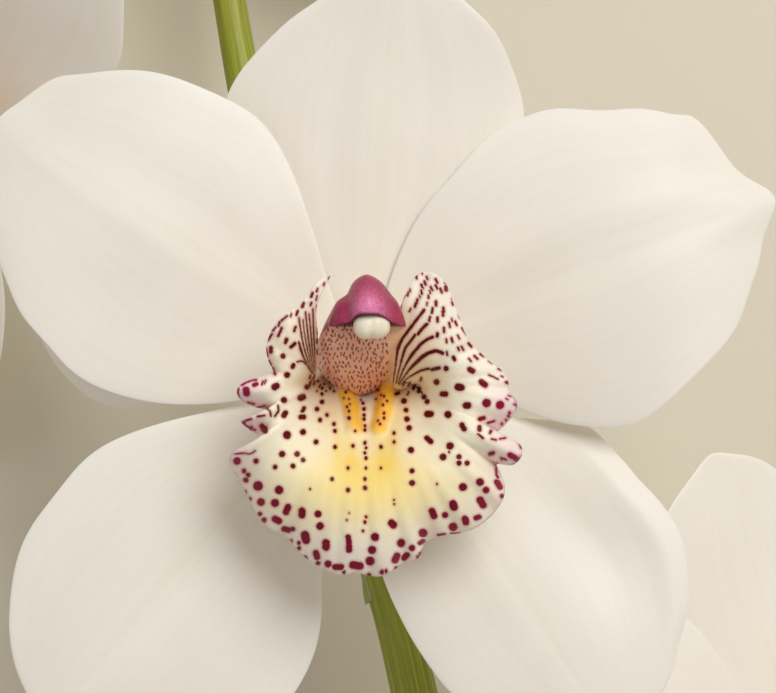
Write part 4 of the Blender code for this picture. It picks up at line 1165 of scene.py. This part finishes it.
def column_material():
    """Column flesh: satin magenta back and hood, with a brownish-orange face that carries fine maroon
    dashes.

    The hood is painted paler over its middle near the rim, a painted highlight, and deeper at its sides, a
    painted shade. Its rim and hollow underside are painted dark, as shade.
    """
    made, tree, (hood, under, crown, plain) = new_material("satin_column", "hood under crown plain")
    mark = mark_distance(tree)
    place = add(tree, "TexCoord", out=3)
    grains = add(tree, "TexNoise", {"Vector": place, "Scale": 2600.0, "Detail": 2.0, "Roughness": 0.7})
    broad = add(tree, "TexNoise", {"Vector": place, "Scale": 260.0, "Detail": 2.0})
    face = add(tree, "ValToRGB", {"Fac": broad}, stops=[(0.3, "#e6a894"), (0.7, "#efb8a4")])
    tanned = add(tree, "Mix", {0: plain, 6: face, 7: "#fcc79d"}, **COLOURS)
    inside = add(tree, "MapRange", {"Value": mark, "From Min": 0.06, "From Max": -0.04, "To Max": 0.9})
    dashed = add(tree, "Mix", {0: inside, 6: tanned, 7: "#8c1e12"}, **COLOURS)
    # The pale ramp is a painted highlight over the hood's middle; the deep one, at its sides, is painted
    # shade
    deep = add(tree, "ValToRGB", {"Fac": grains}, stops=[(0.3, "#8e143c"), (0.75, "#a4234f")])
    pale = add(tree, "ValToRGB", {"Fac": grains}, stops=[(0.3, "#d86a9c"), (0.75, "#f09ec2")])
    hood_painted_light = add(tree, "Mix", {0: crown, 6: deep, 7: pale}, **COLOURS)
    coloured = add(tree, "Mix", {0: hood, 6: dashed, 7: hood_painted_light}, **COLOURS)
    # Painted shade: the hood's rim and its hollow underside are darkened to deep maroon
    shaded = add(tree, "Mix", {0: under, 6: coloured, 7: "#5e1428"}, **COLOURS)
    skin = add(tree, "Bump", {"Strength": 0.2, "Distance": 0.0001, "Height": grains})
    links = {"Base Color": shaded, "Roughness": 0.34, "IOR": 1.36, "Normal": skin}
    links["Specular IOR Level"] = 0.35
    return finish_with(made, links, (0.1, (1.0, 0.5, 0.5), 0.0008))


def cap_material():
    """Anther cap: smooth waxy cream, soft gloss, light going a little way in."""
    made, tree, _ = new_material("waxy_anther_cap")
    place = add(tree, "TexCoord", out=3)
    clouds = add(tree, "TexNoise", {"Vector": place, "Scale": 500.0, "Detail": 3.0})
    tone = add(tree, "ValToRGB", {"Fac": clouds}, stops=[(0.3, "#e8dcc2"), (0.7, "#f2ead8")])
    skin = add(tree, "Bump", {"Strength": 0.15, "Distance": 0.0001, "Height": clouds})
    links = {"Base Color": tone, "Roughness": 0.36, "IOR": 1.42, "Normal": skin}
    return finish_with(made, links, (0.3, (1.0, 0.8, 0.55), 0.0008))


def stem_material():
    """Living stem: olive green skin with fine lengthwise fibres 0.5 mm apart, and a pale pithy cut."""
    made, tree, (grain, cut) = new_material("green_stem_skin", "grain cut")
    stretched = add(tree, "Mapping", {"Vector": grain, "Scale": (2.0, 2.0, 0.05)})
    fibres = add(tree, "TexNoise", {"Vector": stretched, "Scale": 1.0, "Detail": 4.0, "Roughness": 0.6})
    blotches = add(tree, "TexNoise", {"Vector": grain, "Scale": 0.09, "Detail": 3.0})
    skin = add(tree, "ValToRGB", {"Fac": fibres}, stops=[(0.3, "#78831f"), (0.7, "#a9ae42")])
    aged = add(tree, "MapRange", {"Value": blotches, "From Min": 0.5, "From Max": 0.75, "To Max": 0.5})
    mottled = add(tree, "Mix", {0: aged, 6: skin, 7: "#a0963a"}, **COLOURS)
    pith = add(tree, "Mix", {0: cut, 6: mottled, 7: "#c9c48f"}, **COLOURS)
    raised = add(tree, "Bump", {"Strength": 0.3, "Distance": 0.0003, "Height": fibres})
    links = {"Base Color": pith, "Roughness": 0.42, "IOR": 1.42, "Normal": raised}
    return finish_with(made, links, (0.08, (0.6, 1.0, 0.3), 0.0008))


def sheath_material():
    """Papery sheath: thin and dry towards its tip, straw coloured over pale green, with close veins."""
    made, tree, (vein, dry) = new_material("papery_sheath", "vein dry")
    lines = add(tree, "TexNoise", {"Vector": vein, "Scale": 3.0, "Detail": 4.0, "Roughness": 0.65})
    young = add(tree, "ValToRGB", {"Fac": lines}, stops=[(0.3, "#8f9a55"), (0.7, "#b4b77c")])
    old = add(tree, "ValToRGB", {"Fac": lines}, stops=[(0.3, "#b09a68"), (0.7, "#d6c69a")])
    tone = add(tree, "Mix", {0: dry, 6: young, 7: old}, **COLOURS)
    raised = add(tree, "Bump", {"Strength": 0.4, "Distance": 0.0003, "Height": lines})
    links = {"Base Color": tone, "Roughness": 0.6, "IOR": 1.45, "Normal": raised}
    return finish_with(made, links, (0.1, (1.0, 0.8, 0.4), 0.0006))


def bud_material():
    """Closed bud: waxy greenish cream, greener at its root, with faint veins along it."""
    made, tree, (grain, green) = new_material("waxy_bud", "grain green")
    stretched = add(tree, "Mapping", {"Vector": grain, "Scale": (1.0, 1.0, 0.08)})
    veins = add(tree, "TexNoise", {"Vector": stretched, "Scale": 0.9, "Detail": 4.0, "Roughness": 0.6})
    pale = add(tree, "ValToRGB", {"Fac": veins}, stops=[(0.3, "#dcdcb4"), (0.7, "#ece8cf")])
    fresh = add(tree, "ValToRGB", {"Fac": veins}, stops=[(0.3, "#a3ae5e"), (0.7, "#bcc47e")])
    tone = add(tree, "Mix", {0: green, 6: pale, 7: fresh}, **COLOURS)
    raised = add(tree, "Bump", {"Strength": 0.25, "Distance": 0.0003, "Height": veins})
    links = {"Base Color": tone, "Roughness": 0.42, "IOR": 1.42, "Normal": raised}
    return finish_with(made, links, (0.2, (1.0, 0.9, 0.5), 0.001))


def floor_material():
    """A plain matt surface in pale warm beige."""
    made, _, _ = new_material("pale_surface")
    return finish_with(made, {"Base Color": "#e0d8c6", "Roughness": 0.85})


def make_stage():
    """The pale surface that the stem lies on, a soft key light, a soft fill and an even pale surround."""
    scene = bpy.context.scene
    mesh = bpy.data.meshes.new("pale_surface")
    corners = [(x * SURFACE_REACH, y * SURFACE_REACH, 0.0) for x, y in ((-1, -1), (1, -1), (1, 1), (-1, 1))]
    mesh.from_pydata(corners, [], [(0, 1, 2, 3)])
    mesh.materials.append(floor_material())
    floor = bpy.data.objects.new("pale_surface", mesh)
    scene.collection.objects.link(floor)
    scene.world = bpy.data.worlds.new("pale_surround")
    scene.world.use_nodes = True
    surround = scene.world.node_tree.nodes["Background"].inputs
    surround["Color"].default_value = SURROUND_COLOUR
    surround["Strength"].default_value = SURROUND_STRENGTH
    scene.view_settings.view_transform = "Standard"
    for name, place, size, power in LAMPS:
        lamp = bpy.data.lights.new(name, "AREA")
        lamp.shape = "DISK"
        lamp.size = size
        lamp.energy = power
        lamp.color = LAMP_COLOUR
        made = bpy.data.objects.new(name, lamp)
        scene.collection.objects.link(made)
        made.matrix_world = looking(np.array(place), np.array(LAMPS_FACE)).T.tolist()


def looking(place, target):
    """A matrix at a place whose -z direction points at a target, with +y as far up as it can."""
    back = unit(place - target)
    right = unit(np.cross(np.array([0.0, 1.0, 0.001]), back))
    matrix = np.eye(4)
    matrix[:3, 0], matrix[:3, 1], matrix[:3, 2], matrix[:3, 3] = right, np.cross(back, right), back, place
    return matrix


def make_camera():
    """The camera of the photograph: straight in front of the closest bloom, its up along the bloom's own."""
    directions, centre = bloom_place(FINE_BLOOM)
    matrix = np.eye(4)
    matrix[:3, :3] = directions
    matrix[:3, 3] = (directions @ np.array([*AIM, CAMERA_DISTANCE]) + centre - FOOTPRINT_MIDDLE) * MM
    data = bpy.data.cameras.new("camera")
    data.sensor_width = 36.0
    data.lens = CAMERA_DISTANCE / (MM_PER_PIXEL * PHOTO_WIDTH) * data.sensor_width
    data.clip_start = 0.01
    made = bpy.data.objects.new("camera", data)
    bpy.context.scene.collection.objects.link(made)
    made.matrix_world = matrix.T.tolist()
    bpy.context.scene.camera = made


def main():
    make_camera()
    make_stage()
    flesh = tepal_material(), lip_material(), column_material(), cap_material()
    stem, sheath, bud = stem_material(), sheath_material(), bud_material()
    for bloom, (stem_y, *_) in BLOOMS.items():
        directions, centre = place = bloom_place(bloom)
        steps = FINE_STEPS if bloom == FINE_BLOOM else PLAIN_STEPS
        for make, finish, counts in zip((make_tepals, make_lip, make_column, make_cap), flesh, steps):
            make(bloom, finish, place, *counts)
        behind = centre + directions[:, 2] * OVARY_TOP_Z
        make_stalk(f"{bloom}_stalk", stem_y, behind, directions[:, 2], OVARY_RADII, OVARY_RIBS, stem)
        make_bract(f"{bloom}_bract", stem_y, centre, sheath)
    for name, (stem_y, root, way, *_) in BUDS.items():
        make_bud(name, bud)
        end = np.asarray(root) - 0.3 * unit(way)
        make_stalk(f"{name}_stalk", stem_y - 4.0, end, way, BUD_STALK_RADII, BUD_STALK_RIBS, stem)
        if stem_y < TIP_Y:
            make_bract(f"{name}_bract", stem_y - 4.0, root, sheath)
    for i, numbers in enumerate(SHEATHS):
        make_sheath(f"sheath_{i + 1}", *numbers, sheath)
    make_stem(stem)


main()
